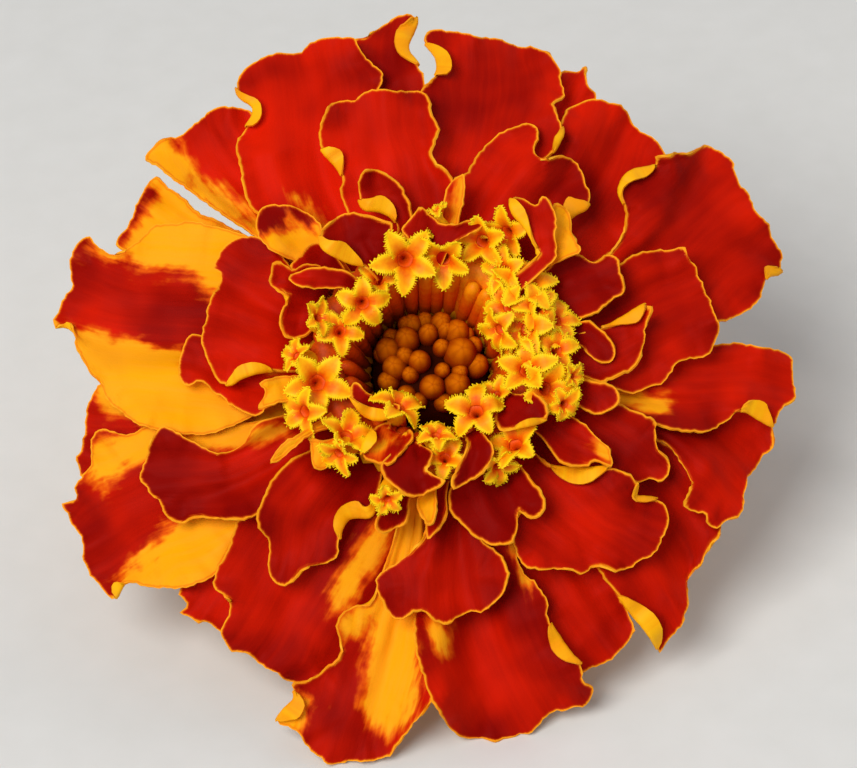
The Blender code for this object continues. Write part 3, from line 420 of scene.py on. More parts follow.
MIDDLE = {
    "M5": (
        [(196, 9.5), (195.5, 12), (197.3, 12.5), (197.8, 13), (196.8, 13.6), (194.5, 14.2),
         (192.2, 14.8), (189.9, 15.1), (187.8, 15.9), (185.8, 16.2), (184.6, 16.5), (184.8, 17),
         (185.6, 17.6)],
        [(184.6, 18), (182.8, 18.2), (180.5, 18.2), (178.2, 18.1), (176, 17.9), (174.8, 17.9),
         (173.3, 17.6), (172.8, 17.1)],
        [(173.5, 16), (176, 12), (178, 9.5)]),
    "M4": (
        [(184, 9.5), (184, 11.5), (184.8, 13.4), (186.6, 14.3), (186.6, 14.8), (184.5, 15.4),
         (181, 15.8)],
        [(180, 16), (177.5, 16.3), (174.8, 16.6), (171.7, 16.6), (168.9, 16.6), (165.8, 16.7),
         (163.5, 16.6), (160.6, 16.5), (157.6, 16.5), (156.2, 16.8), (155.5, 17.4), (153.3, 17.4),
         (150.9, 17.5), (149.1, 17.3), (147, 17)],
        [(145.2, 16.5), (143.5, 15.8), (143, 14), (146, 12), (152, 9.5)]),
    "M19": (
        [(142, 11), (144.3, 13.2), (144.5, 14.2), (143.2, 15.6), (140.5, 16.4)],
        [(137.5, 16.9), (134.9, 16.7), (132.2, 16), (130, 15.2)],
        [(128.5, 14.2), (128, 13), (130, 11)]),
    "M1": (
        [(118, 11), (117.6, 13.8), (117, 14.4), (115, 15), (114.6, 15.6), (115, 16.2), (115.3, 16.9),
         (116.2, 17.6), (115.9, 18.6), (115, 19.3), (113.1, 20)],
        [(111, 20.9), (109.4, 21.1), (107, 20.9), (105.3, 20.7), (104, 21.1), (101.7, 21.2),
         (98.3, 20.9), (95.5, 20.8), (93, 20.8), (91, 20.5)],
        [(90, 19.7), (89.7, 18.8), (88.4, 18), (88.1, 17.3), (89.4, 16.2), (90, 15.6), (88.5, 14.9),
         (85.2, 14.3), (83, 13.4), (84, 11)]),
    "M3": (
        [(80, 11), (80.2, 13.9), (78.7, 14.5), (78.5, 15.1), (77.3, 15.9), (75.2, 17.4), (73.4, 18.2),
         (71, 18.8), (69.3, 19.4)],
        [(67.7, 19.6), (66, 19.5), (65, 18.8), (64.4, 17.8), (63.4, 17.4), (61.5, 17.4), (59.7, 17.6),
         (59.2, 18.1), (57.2, 18.5), (55.4, 18.6), (52.8, 18.4), (51.1, 18.1), (49.7, 17.75),
         (47.4, 17.4), (46.1, 16.9)],
        [(45.3, 16.2), (46.3, 15.2), (46.6, 14.5), (43.5, 14), (42, 12)]),
    "M12": (
        [(24, 11), (27.9, 15.5), (28.2, 17.3), (27, 18.8), (25.6, 19.6), (25.2, 20.6)],
        [(23.5, 20.5), (21.8, 20.6), (20.5, 20.8), (18.4, 20.7), (16.4, 20.9), (13.5, 21),
         (12.6, 21.2), (12, 21), (10, 21.1), (8.1, 21.3), (6.5, 21.3)],
        [(5, 21), (2.8, 20.6), (1.3, 20.1), (1.1, 19.1), (0.5, 18.2), (-1.3, 17.7), (-3, 17.4),
         (-5.1, 16.9), (-6.5, 16), (-9, 14.6), (-6, 11)]),
    "M11": (
        [(348, 11), (347.2, 13.7), (346.1, 14.9), (345.9, 15.8), (344.8, 16.8), (342.6, 17),
         (340.1, 17.4), (338.3, 17.8)],
        [(337.7, 18.5), (336.5, 18.9), (335, 19), (333.5, 19), (332, 18.6), (331.6, 18), (330, 17.6)],
        [(329, 16.8), (329, 14), (332, 11)]),
    "M10": (
        [(319, 10), (318.1, 11.5), (322, 12.8), (324.7, 13.8), (328.4, 14.9), (329.5, 16),
         (329.7, 17), (328.3, 17.5), (326, 17.65), (326.5, 18.1), (328, 18.75), (328.5, 19.4)],
        [(328.3, 20), (327, 20.5), (324.6, 20.9), (322.9, 21), (321.1, 21.3), (318.2, 21.3),
         (316.7, 21), (313.6, 20.9), (311.2, 20.2), (309.5, 19.2), (308, 19), (305.1, 18.9),
         (303.3, 18.1)],
        [(299.5, 17.4), (296.5, 16.8), (293.8, 15.9), (296, 13), (303, 10)]),
    "M8": (
        [(286, 11), (286, 13.6), (288.6, 14.4), (289.8, 15.4), (289.9, 16.4), (288.6, 17.1)],
        [(286.5, 17.8), (284, 18.2), (281.3, 18.6), (279, 18.5), (276, 18.7), (273.7, 19),
         (271.5, 18.9), (269.8, 18.4), (268.5, 18), (266.5, 18.1), (264.4, 18.7), (262.3, 18.8)],
        [(260.8, 18.4), (259.3, 17.9), (257.8, 17.3), (256.5, 16.5), (256.9, 15.8), (258.3, 15.4),
         (262, 14.6), (265.1, 13.8), (268.4, 12.9), (270, 11)]),
    "M6": (
        [(222, 10), (222.5, 14), (222.1, 16.6), (220.8, 17.6), (219, 18.3), (217, 19), (214.5, 20),
         (213.5, 20.6)],
        [(213.7, 21.3), (212.8, 21.7), (211.5, 22), (209.7, 22.1), (207.8, 22), (206.2, 22.4),
         (204.3, 22.4), (202.5, 22.6), (200.8, 22.4), (198.9, 21.7), (196.8, 21.1), (194.8, 20.5)],
        [(193.6, 20), (194.5, 19.4), (196.5, 18.7), (198.5, 18.1), (200.5, 17.6), (202.8, 17),
         (204.2, 16), (204.3, 14.8), (202.8, 14.2), (200.5, 13.2), (202, 10)]),
    "M7": (
        [(246, 8.4), (248.4, 9.9), (249.6, 12), (246, 12.4), (242.8, 12.9), (242.4, 13.6),
         (243.3, 14.4), (244.6, 15.2), (244.7, 15.8), (243.3, 16.4)],
        [(241.4, 16.9), (239.2, 17.4), (238.6, 18.2), (237.9, 19.1), (236.3, 19.5), (234.6, 19.5),
         (233.1, 19.2)],
        [(231.7, 18.7), (230.5, 18.1), (228.9, 17.5), (226.5, 17.3), (224, 17), (221.7, 16.3),
         (220, 15.3), (218, 14), (217.2, 12.4), (219, 10)]),
}
INNER = {
    "M18": (
        [(147, 9.5), (145.5, 11.8)],
        [(145, 12.4), (139.4, 12.3), (133.9, 12.25), (131.8, 11.8)],
        [(131.5, 11), (132, 9.5)]),
    "M17": (
        [(167, 8.9), (170, 9.6), (170.5, 10.3), (167.5, 10.9)],
        [(163.5, 11.2), (159.4, 11.3), (157, 11.1), (154.5, 11.3), (153.7, 12), (153.4, 12.9),
         (150, 13.2)],
        [(147.3, 13.4), (145.8, 12.9), (146, 12), (142, 11.5), (138.5, 10.5), (136, 9.5)]),
    "M2": (
        [(103.5, 10.2), (106, 11.2), (110, 11.8), (113.5, 12.2), (113.2, 13), (112.3, 13.6),
         (110.8, 14.5)],
        [(109, 15), (107.1, 15), (104.6, 14.8), (102.4, 14.2)],
        [(100.5, 13.7), (99.1, 13.1), (98.3, 12.5), (97.5, 11.8), (97, 10.4)]),
    "M15": (
        [(9, 10), (10.7, 12.6), (11.2, 13.4), (12.7, 14.3), (13.9, 15), (14.8, 15.7), (15.1, 16.4)],
        [(13.6, 16.4), (11.9, 16.1), (9.9, 15.8), (7.5, 15.7), (4.4, 15.4), (2.3, 15.2)],
        [(0, 14.9), (-2.1, 14.5), (-3.6, 14), (-5, 13.4), (-6.5, 12.8), (-7.6, 12.2), (-5, 10)]),
    "M13": (
        [(37, 9), (38.3, 11.2), (39.5, 12), (39.1, 12.6), (37.3, 13.2), (35, 13.6), (32.1, 13.9),
         (31.4, 14.3), (32.1, 14.8)],
        [(32, 15.2), (30.8, 15.5), (29.4, 15.6), (26.5, 15.3), (23.5, 15.2), (21.4, 15.1)],
        [(20, 14.8), (19.2, 14), (17.9, 13.2), (16.3, 12.5), (15.6, 11.5), (18, 9)]),
    "M14": (
        [(15, 9.5), (14.2, 11.6), (11.7, 12.3), (10.2, 12.6), (8.2, 12.9)],
        [(6.4, 13.2), (3.9, 13.3), (1.4, 13.2), (0, 12.9)],
        [(-0.2, 12.3), (0.6, 11.8), (2.6, 11.3), (5.6, 10.8), (8, 9.5)]),
    "M16": (
        [(352, 9.5), (352.2, 12.2), (352, 13.2), (350.1, 13.7)],
        [(348, 13.8), (346.3, 13.6), (344.7, 13.2), (343, 12.8)],
        [(341.8, 12.2), (342.2, 11.5), (343.2, 10.5), (345, 9.5)]),
    "M21": (
        [(338, 10), (337, 12), (335, 13.3)],
        [(334.6, 13.8), (334.2, 14.2), (331.6, 14.8), (329.7, 15)],
        [(328.5, 13.8), (325, 13.5), (321.7, 12.4), (321.2, 11.6), (324, 10)]),
    "M9": (
        [(309, 9.5), (309.2, 11.5), (309.2, 12.5), (308, 13.2), (305.7, 13.55)],
        [(303.7, 13.5), (302, 13.2), (301.3, 12.7), (300.3, 12.4), (298.7, 13.1), (296.9, 13.6),
         (295, 14), (292.8, 14.2), (290.6, 14.1), (288, 13.9)],
        [(286.1, 13.5), (283.8, 13), (281, 12.1), (278.3, 11.5), (277.4, 10.8), (279, 9.5)]),
    "M23": (
        [(262, 10.2)],
        [(261.7, 11.7), (257.9, 12.4), (254.1, 12.8), (252, 12.3)],
        [(252.3, 10.2)]),
    "M25": (
        [(277, 9.9)],
        [(276.6, 10.6), (274.4, 11.7), (271.1, 12.5), (269.1, 12.8)],
        [(268.5, 11), (269, 9.9)]),
}

# Short petals at the back, which close the gaps between the feet of the others.
BACK = {}
BACK_COUNT = 14
for number in range(BACK_COUNT):
    bearing = number * 360 / BACK_COUNT + 4
    BACK["B" + str(number + 1)] = (
        [(bearing + 15, 9.0), (bearing + 13.5, 13.5)],
        [(bearing + 9, 16.2), (bearing + 3, 16.8), (bearing - 4, 16.6), (bearing - 9, 16.0)],
        [(bearing - 13.5, 13.5), (bearing - 15, 9.0)],
    )

# Narrow tongues that come out from under the disc florets.
TONGUES = {
    "T7": (
        [(42, 9.5), (44, 11.3), (47, 13), (50.5, 14.1)],
        [(48.5, 14.4), (45.6, 14.4), (42.5, 13.9)],
        [(40.8, 13.5), (37, 13.2), (34.2, 13.1), (36, 11), (38, 9.5)]),
    "T8": (
        [(272.5, 9.6), (272.3, 11.2)],
        [(271, 12.4), (269, 12.5), (267, 11.8)],
        [(265.2, 11), (266.5, 9.6)]),
    "T9": (
        [(86, 9.5), (85, 10.8), (84.5, 12)],
        [(82.5, 12.8), (80.5, 13.2), (79.2, 13.3)],
        [(78.2, 12.2), (77.8, 11), (78, 9.5)]),
    "T12": (
        [(229.5, 9.6), (229.6, 10.9)],
        [(228.3, 11.6), (225.5, 11.8), (223.5, 11.6)],
        [(220.5, 11.1), (216.3, 10.7), (219.5, 10.3), (222, 9.4)]),
    "T13": (
        [(215.5, 10.5), (216.3, 12.2)],
        [(216.6, 13.3), (215.6, 13.9), (214.2, 13.4)],
        [(212.6, 12.2), (212.8, 10.5)]),
    "T15": (
        [(200, 9.5), (199.5, 11), (198.8, 12.9)],
        [(197, 12.6), (194, 12.1), (191, 12.4)],
        [(189.6, 11.3), (190, 9.5)]),
}

# One crest on the rim of the hollow.
FLAP = {
    "T16": (
        [(230, 4.9), (238, 4.5), (243, 4.7)],
        [(238, 5.8), (231, 6.4), (223.5, 6.6), (215, 6.6), (208, 6.4), (203, 5.95)],
        [(204.5, 5.6), (210.5, 5.5), (216, 5.3)]),
}

# Small crests that stand among the disc florets, measured the same way.
CRESTS = {
    "T1": (
        [(101, 8.2), (103, 9.1)],
        [(98, 9.9), (93.7, 10.6), (90, 10), (86.3, 9.55), (81.6, 9.4), (77.2, 9.6), (73.4, 10.1),
         (67.8, 10.1)],
        [(70, 9.2), (78, 8)]),
    "T2": (
        [(126, 7.6), (131.5, 8.5), (136, 10.4), (132.5, 11.6)],
        [(127, 11.8), (122.5, 11.9), (118, 11.5), (114, 10.8), (110, 10.1)],
        [(106.5, 9.5), (112.5, 8.1)]),
    "T3": (
        [(302.5, 7.2), (302.5, 8.4)],
        [(299.5, 8.9), (293, 9.5), (286, 9.8), (280, 10.1)],
        [(280, 9.3), (286, 8.3), (292.5, 7.3)]),
    "T4": (
        [(334, 7.1), (337.5, 7.8), (335, 8.9)],
        [(330, 9.6), (325, 9.2), (321, 8.6), (316, 8.1)],
        [(311.5, 7.6), (313, 6.8), (320, 6.3)]),
    "T5": (
        [(255, 5.7), (259.5, 6.3)],
        [(256.5, 7.1), (251.5, 8.5), (244.5, 8.9), (238, 9)],
        [(235.5, 8.2), (235, 6.8), (241, 5.6)]),
    "T6": (
        [(262, 6.6), (267, 6.9), (271.8, 7.4), (270, 8.1), (268, 8.8)],
        [(276.5, 9.4), (270, 10.1), (264, 10.6), (256, 10.1)],
        [(250, 9.6), (247.6, 9), (249.4, 8.1), (253, 7.2), (257.5, 6.8)]),
    "T11": (
        [(41, 10.2), (45.5, 10.8), (53, 11.3), (60.5, 11.9)],
        [(62.5, 12.7), (60, 13.1), (56.5, 13.2), (54.3, 13.2), (54.8, 14), (52.4, 14)],
        [(47.7, 13.4), (43, 12.3), (38.5, 11.6), (36, 10.6)]),
    "T14": (
        [(143, 7.5), (147.8, 8.5), (151.6, 9.5), (153.3, 10.6)],
        [(152.7, 11.3), (150.5, 11.4)],
        [(145.4, 10.6), (140.2, 9.4), (135.8, 8.2), (134, 7.1)]),
}

# Gold on the upper side: runs as bearing and reach of one end, bearing and reach of the other,
# and the half width in mm. A petal in RED_STRIPE is gold with red runs instead.
GOLD = {
    "O1": [(128, 13, 127, 16.5, 0.2), (137, 13, 135, 16, 0.2)],
    "O7": [(350, 13, 351, 17, 0.7)],
    "O11": [(272, 15, 272, 20.3, 0.6), (296, 13.5, 295, 17, 0.5)],
    "O12": [(264, 11, 263, 15, 1.6), (263, 15, 263, 24.8, 1.9), (255, 18.4, 253.5, 19.6, 0.9),
            (248, 26.6, 248, 28, 1.2)],
    "O13": [(254, 12, 250.5, 15.5, 0.7), (250.5, 15.5, 249.2, 18.4, 0.7)],
    "O15": [(217.5, 15, 217.8, 26, 2.1), (220, 18, 221, 23, 1.6), (194, 20.5, 196, 25, 1.4),
            (193.5, 17, 193, 22, 1.0), (199, 13.5, 195.5, 17.5, 1.8)],
    "O16": [(184, 14, 184, 22.8, 2.0), (187, 14, 188, 20.5, 1.6), (199, 13, 193, 19, 2.4)],
    "O19": [(141, 12, 140.5, 24, 0.8), (141.5, 24, 140.6, 26.2, 1.5), (132, 13, 133, 16, 0.5)],
    "M21": [(333, 14.2, 332, 14.5, 0.8)],
    "M5": [(181, 11, 178, 13, 0.6)],
    "M6": [(205, 12, 203, 14, 0.4)],
    "T5": [(250, 6.5, 240, 8.6, 0.2)],
    "T7": [(40, 10, 44, 14, 4.0)],
    "T8": [(269, 9, 269, 13, 3.0)],
    "T9": [(79.3, 9.5, 79.3, 13.3, 0.6)],
    "T15": [(195, 10, 195, 13, 3.0)],
    "T12": [(222, 10, 224, 12, 3.0)],
    "T13": [(213, 10, 215, 14, 3.0)],
}
RED_STRIPE = {
    "O17": [(170.5, 8, 169.5, 16.5, 1.4), (169.5, 16.5, 166.6, 19.8, 2.2),
            (166.6, 19.8, 167, 29, 2.9), (163, 26, 160, 28.2, 1.3)],
    "O18": [(150, 25.6, 155, 25.6, 1.0), (147, 24.9, 157.5, 25.2, 0.5)],
    "M19": [(130, 15.6, 141, 16.2, 1.0), (129, 14, 131, 15.5, 0.9)],
}

# Rolled margins: from one (bearing, reach) to another along the margin, the roll's width, and
# how far along it is widest where that is not the middle.
ROLLS = {
    "O1": [((126.8, 23.0), (123.4, 26.3), 0.7, 0.3)],
    "O2": [((92.4, 27.4), (91.8, 23.3), 1.15, 0.4)],
    "O3": [((89.0, 22.3), (90.7, 25.5), 1.1, 0.3), ((61.0, 18.4), (62.3, 20.8), 0.45)],
    "O6": [((40, 18.9), (43.0, 22.9), 0.85, 0.65), ((15.9, 27.5), (15.5, 26.0), 0.8)],
    "O7": [((350.9, 25.6), (352.6, 22.7), 1.2)],
    "O9": [((308.6, 26.7), (309.2, 21.3), 1.15, 0.42)],
    "O11": [((295.0, 20.6), (296.5, 24.4), 0.95)],
    "O12": [((246.9, 28.2), (247.2, 25.4), 1.2)],
    "O15": [((215.6, 27.3), (216.5, 28.7), 0.7)],
    "M1": [((114.7, 15.2), (116.0, 18.0), 1.0, 0.62)],
    "M2": [((103.8, 10.4), (113.4, 13.0), 1.1)],
    "M3": [((45.8, 16.6), (46.5, 14.4), 1.3)],
    "M4": [((184.3, 11.2), (186.4, 15.0), 0.8)],
    "M7": [((249.2, 11.0), (243.2, 14.6), 1.1)],
    "M10": [((318.4, 11.5), (328.8, 15.0), 1.2), ((329.6, 17.2), (328.4, 19.4), 0.5)],
    "M15": [((10.8, 12.6), (15.0, 16.2), 0.9, 0.7)],
    "T2": [((126.5, 7.9), (132.5, 11.5), 1.1)],
    "T4": [((316, 8.1), (330, 9.6), 0.4)],
    "T5": [((238, 9.0), (235.5, 7.0), 0.8)],
    "T11": [((44, 10.7), (62, 12.6), 0.85, 0.75)],
    "T16": [((209, 6.5), (242, 5.0), 0.8, 0.6)],
}

# How far the middle of a blade lies below its margin, in mm, where it is not its layer's own.
CUPPED = {"M9": 1.3, "M17": 1.2, "M2": 1.2, "M7": 0.9, "M14": 0.7, "M16": 0.7, "M13": 0.8, "M18": 0.8,
          "M23": 1, "M25": 0.8, "O18": -0.2, "T2": 1.4, "T3": 1.1, "T4": 1.1, "T5": 1, "T1": 0.4,
          "T6": 1.5, "T9": 0.2, "T12": -0.3, "T13": 0.1, "T14": 0.3, "T15": 0.3}

# Painted light and shade on the red of each petal, from 0 for painted shade to 1 for painted light,
# where it is not 0.5. One is darker still.
PAINTED_LIGHT = {"O1": 0.7, "O3": 0.45, "M1": 0.55, "O17": 0.35, "O16": 0.4, "O11": 0.35, "O12": 0.4,
         "O6": 0.36, "M12": 0.42, "M10": 0.4, "O13": 0.42, "M9": -0.4, "M8": 0.3, "M17": 0.25,
         "M18": 0.3, "M19": 0.2, "M7": 0.3, "M6": 0.3, "M14": 0.25, "M13": 0.3, "M2": 0.25, "T2": 0.1,
         "T3": 0.1, "T4": 0.15, "T5": 0.6, "T6": 0.1, "T14": 0.35}

# Tip height and twist of the two petals that the bloom rests on.
RESTING = {"O11": (-0.3, 0.3), "O12": (1.7, -0.3)}

# Each layer: petals, level the reaches are measured at, root (radius, height), height of the
# blade by reach, and how deep its blades are cupped.
LAYERS = (
    (BACK, 15.0, (5.2, 14.4), ((5, 14.4), (7, 15.0), (10, 15.3), (17, 14.9)), 0.2),
    (OUTER, 16.0, (5.0, 14.9), ((5, 14.9), (7, 15.7), (10, 16.3), (15, 16.4), (20, 15.9),
                                (25, 14.7), (30, 12.8)), 0.25),
    (MIDDLE, 18.5, (6.8, 17.4), ((6, 17.2), (8.5, 18.2), (12, 18.7), (16, 18.6), (20, 18.0),
                                 (24, 17.2)), 0.45),
    (INNER, 18.5, (8.8, 19.5), ((8, 19.3), (9.5, 20.0), (12, 20.5), (16, 20.6)), 0.6),
    (TONGUES, 22.5, (6.8, 19.2), ((6, 19.8), (8, 20.4), (10, 21.5), (12, 22.2), (15, 21.7)), 0.6),
    (CRESTS, 22.5, (6.2, 19.8), ((6, 21.4), (8, 22.7), (10, 23.0), (12, 22.7), (15, 21.8)), 0.6),
    (FLAP, 22.5, (5.0, 19.8), ((4, 21.9), (5.5, 22.2), (7, 22.5)), 0.5),
)
VIEW_ANGLE = math.radians(12.0)
SIGHT = math.tan(VIEW_ANGLE)    # slope of the line the reaches are measured along
THICK = 0.16                # of a blade
AIR = 0.34                  # least gap between two blades that cross
LIFT = 2.4                  # most that a blade is raised over those below it
STEP = 0.31                 # spacing of a blade's grid
CELL = 0.5                  # cell of the grid that holds the top of what is laid so far
HALF = 80                   # half the cells of a side of that grid
EMPTY = -100.0              # height where nothing is laid
laid = np.full((2 * HALF, 2 * HALF), EMPTY)

RIM_GOLD = rgb(253, 164, 26)
red_top = Look("petal red", 0.6, Specular_IOR_Level=0.04, Sheen_Weight=0.05,
               Sheen_Roughness=0.35, Sheen_Tint=(1.0, 0.2, 0.16, 1.0))
across = red_top.held("across")
along = red_top.held("along")
seed = red_top.held("seed")
fibre = red_top.noise(red_top.place(across * 2.2, along * 0.14, seed), 1.0, 4.0)
fine = red_top.noise(red_top.place(across * 8.0, along, seed), 1.0, 3.0)
blot = red_top.noise(red_top.place(across * 0.9, along * 0.5, seed), 1.0, 3.0)
cloud = red_top.grain(150.0, 2.0)
# Random tone from the cloud and fibre noise, plus each petal's painted light and shade.
tone_and_painted_light = (cloud - 0.5) * 1.7 + (fibre - 0.5) * 0.3 + red_top.held("light")
red = red_top.mix(tone_and_painted_light.step(0.0, 1.0), rgb(132, 4, 0), rgb(214, 26, 0))
share = (red_top.held("gold") + (fibre - 0.5) * 0.5 + (blot - 0.5) * 0.9).step(0.2, 0.8)
yellow = red_top.mix((fibre * 0.5 + cloud * 0.5).step(0.3, 0.7), rgb(252, 164, 0), RIM_GOLD)
flame = red_top.mix(share.step(0.0, 0.5), red, rgb(224, 84, 4))
body = red_top.mix(share.step(0.35, 1.0), flame, yellow)
ragged = red_top.held("inward") + (fine - 0.5) * 0.12
body = red_top.mix((1.0 - ragged.step(0.06, 0.26)) * 0.75, body, rgb(222, 78, 4))
body = red_top.mix(1.0 - ragged.step(0.03, 0.16), body, RIM_GOLD)
red_top.colour(body)
red_top.bump(fibre + fine * 0.5 + red_top.grain(9000.0, 2.0) * 0.3, 0.25, 0.0001)

gold_under = Look("petal gold", 0.55, Specular_IOR_Level=0.12)
across = gold_under.held("across")
along = gold_under.held("along")
vein = gold_under.noise(gold_under.place(across * 4.0, along * 0.15, 3.0), 1.0, 4.0)
cloud = gold_under.grain(300.0, 3.0)
gold_under.colour(gold_under.mix((vein * 0.5 + cloud * 0.5).step(0.35, 0.65), rgb(244, 150, 0),
                                 rgb(253, 182, 4)))
gold_under.bump(vein, 0.3, 0.0001)
gold_rim = Look("petal rim", 0.55, Specular_IOR_Level=0.1)
glow = gold_rim.grain(700.0, 2.0)
gold_rim.colour(gold_rim.mix(glow.step(0.35, 0.65), rgb(246, 140, 10), rgb(254, 176, 30)))


def polar(bearing, reach):
    """Plan position of a bearing in degrees and a reach in mm."""
    angle = math.radians(bearing)
    return np.array((reach * math.cos(angle), reach * math.sin(angle)))


def run_along(line):
    """Distance along a polyline from its start to each of its points."""
    return np.r_[0, np.cumsum(np.linalg.norm(np.diff(line, axis=0), axis=1))]


def even(line, count):
    """Points spaced evenly by length along a polyline."""
    run = run_along(line)
    at = np.linspace(0, run[-1], count)
    return np.stack([np.interp(at, run, line[:, k]) for k in range(line.shape[1])], -1)


CRINKLE = 0.045             # size of the small waves of a margin
CALM = 1.5                  # length over which they die out at the ends of a margin


def crinkled(line, root_first, root_last, phase):
    """A margin with small irregular waves to its sides, none at its ends or near the root."""
    run = run_along(line)
    ahead = np.gradient(line, axis=0)
    side = np.stack((-ahead[:, 1], ahead[:, 0]), -1)
    side /= np.linalg.norm(side, axis=1)[:, None] + 1e-9
    size = CRINKLE * np.clip(np.minimum(run, run[-1] - run) / CALM, 0, 1)
    if root_first:
        size *= np.clip(run / run[-1] * 2 - 0.4, 0, 1)
    if root_last:
        size *= np.clip((1 - run / run[-1]) * 2 - 0.4, 0, 1)
    start = phase + line[0, 0] * 3.1
    wave = (0.8 * np.sin(run * 2.3 + start) + 0.8 * np.sin(run * 5.3 + 2 * start)
            + 0.8 * np.sin(run * 9.1 + 3 * start))
    return line + side * (size * wave)[:, None]


def to_run(points, a, b):
    """Distance in plan from each point to the straight run from a to b."""
    away = b - a
    t = np.clip(((points - a) @ away) / max(1e-9, away @ away), 0, 1)
    return np.linalg.norm(points - a - t[..., None] * away, axis=-1)


CLAW = 0.11                 # half width of a petal's root, as a share of its distance from the axis
FINE = 8                    # parts of a margin between two of its points
SMOOTHINGS = 160            # rounds that even out the grid inside the outline


def blade_plan(edges, root):
    """Grid of plan points that fills a petal's outline, with its first row at the root."""
    left, tip, right = [[polar(*p) for p in edge] for edge in edges]
    middle = (left[0] + right[-1]) / 2
    outward = middle / np.linalg.norm(middle)
    sideways = np.array((-outward[1], outward[0]))
    start = outward * root + sideways * CLAW * root
    stop = outward * root - sideways * CLAW * root
    line = curve_through([start] + left + tip + right + [stop], FINE)
    a = FINE * (len(left) + 1)
    b = a + FINE * (len(tip) - 1)
    parts = line[:a + 1], line[a:b + 1], line[b:]
    size = [np.linalg.norm(np.diff(p, axis=0), axis=1).sum() for p in parts]
    across = max(6, round(size[1] / STEP))
    along = max(8, round(max(size[0], size[2]) / STEP))
    left_side = crinkled(even(parts[0], along + 1), True, False, 1.0)
    tip_side = crinkled(even(parts[1], across + 1), False, False, 2.0)
    right_side = crinkled(even(parts[2], along + 1), False, True, 3.0)[::-1]
    u = np.linspace(0, 1, across + 1)[:, None, None]
    v = np.linspace(0, 1, along + 1)[None, :, None]
    base = start + (stop - start) * u
    grid = ((1 - u) * left_side[None] + u * right_side[None]
            + (1 - v) * base + v * tip_side[:, None]
            - (1 - u) * (1 - v) * start - u * (1 - v) * stop
            - (1 - u) * v * tip_side[0] - u * v * tip_side[-1])
    for _ in range(SMOOTHINGS):
        grid[1:-1, 1:-1] = (grid[:-2, 1:-1] + grid[2:, 1:-1] + grid[1:-1, :-2]
                            + grid[1:-1, 2:]) / 4
    return grid


def edge_line(grid):
    """A grid's border from one end of its root round the tip to the other, as (i, j) pairs."""
    across, along = grid.shape[0] - 1, grid.shape[1] - 1
    return ([(0, j) for j in range(along + 1)] + [(i, along) for i in range(1, across + 1)]
            + [(across, j) for j in range(along - 1, -1, -1)])


def cells(points):
    """Indices of points into the grid of what is laid."""
    return tuple(np.clip((points[..., k] / CELL + HALF).astype(int), 1, 2 * HALF - 2)
                 for k in (0, 1))


def relaxed(values, times, floor=None):
    """Values evened out over a grid, never below floor, with the root row kept at 0."""
    for _ in range(times):
        wide = np.pad(values, 1, mode="edge")
        values = (wide[:-2, 1:-1] + wide[2:, 1:-1] + wide[1:-1, :-2] + wide[1:-1, 2:]) / 4
        if floor is not None:
            values = np.maximum(values, floor)
        values[:, 0] = 0
    return values


def raised(plan, height, level, v):
    """Plan points at their heights, moved so that they still show where their reach says."""
    spot = np.dstack((plan, height))
    spot[..., 1] -= (height - level) * SIGHT * v
    return spot


BROAD = 9.0                 # width from which a blade is folded in full
CUP_RIM = 1.9               # how far in from the margin the cupping fades
FRILL = 0.3                 # height of the larger waves of a margin
FRILL_RIM = 1.3             # how far in from the margin they fade
ROOT_STAGGER = 0.45         # height between the roots of neighbours
PASSES = 4                  # times that a blade is raised clear of those below it
CLEAR_FROM = 2.5            # distance out from the root at which that starts
CLEAR_RUN = 3.5             # distance over which it grows to all of it


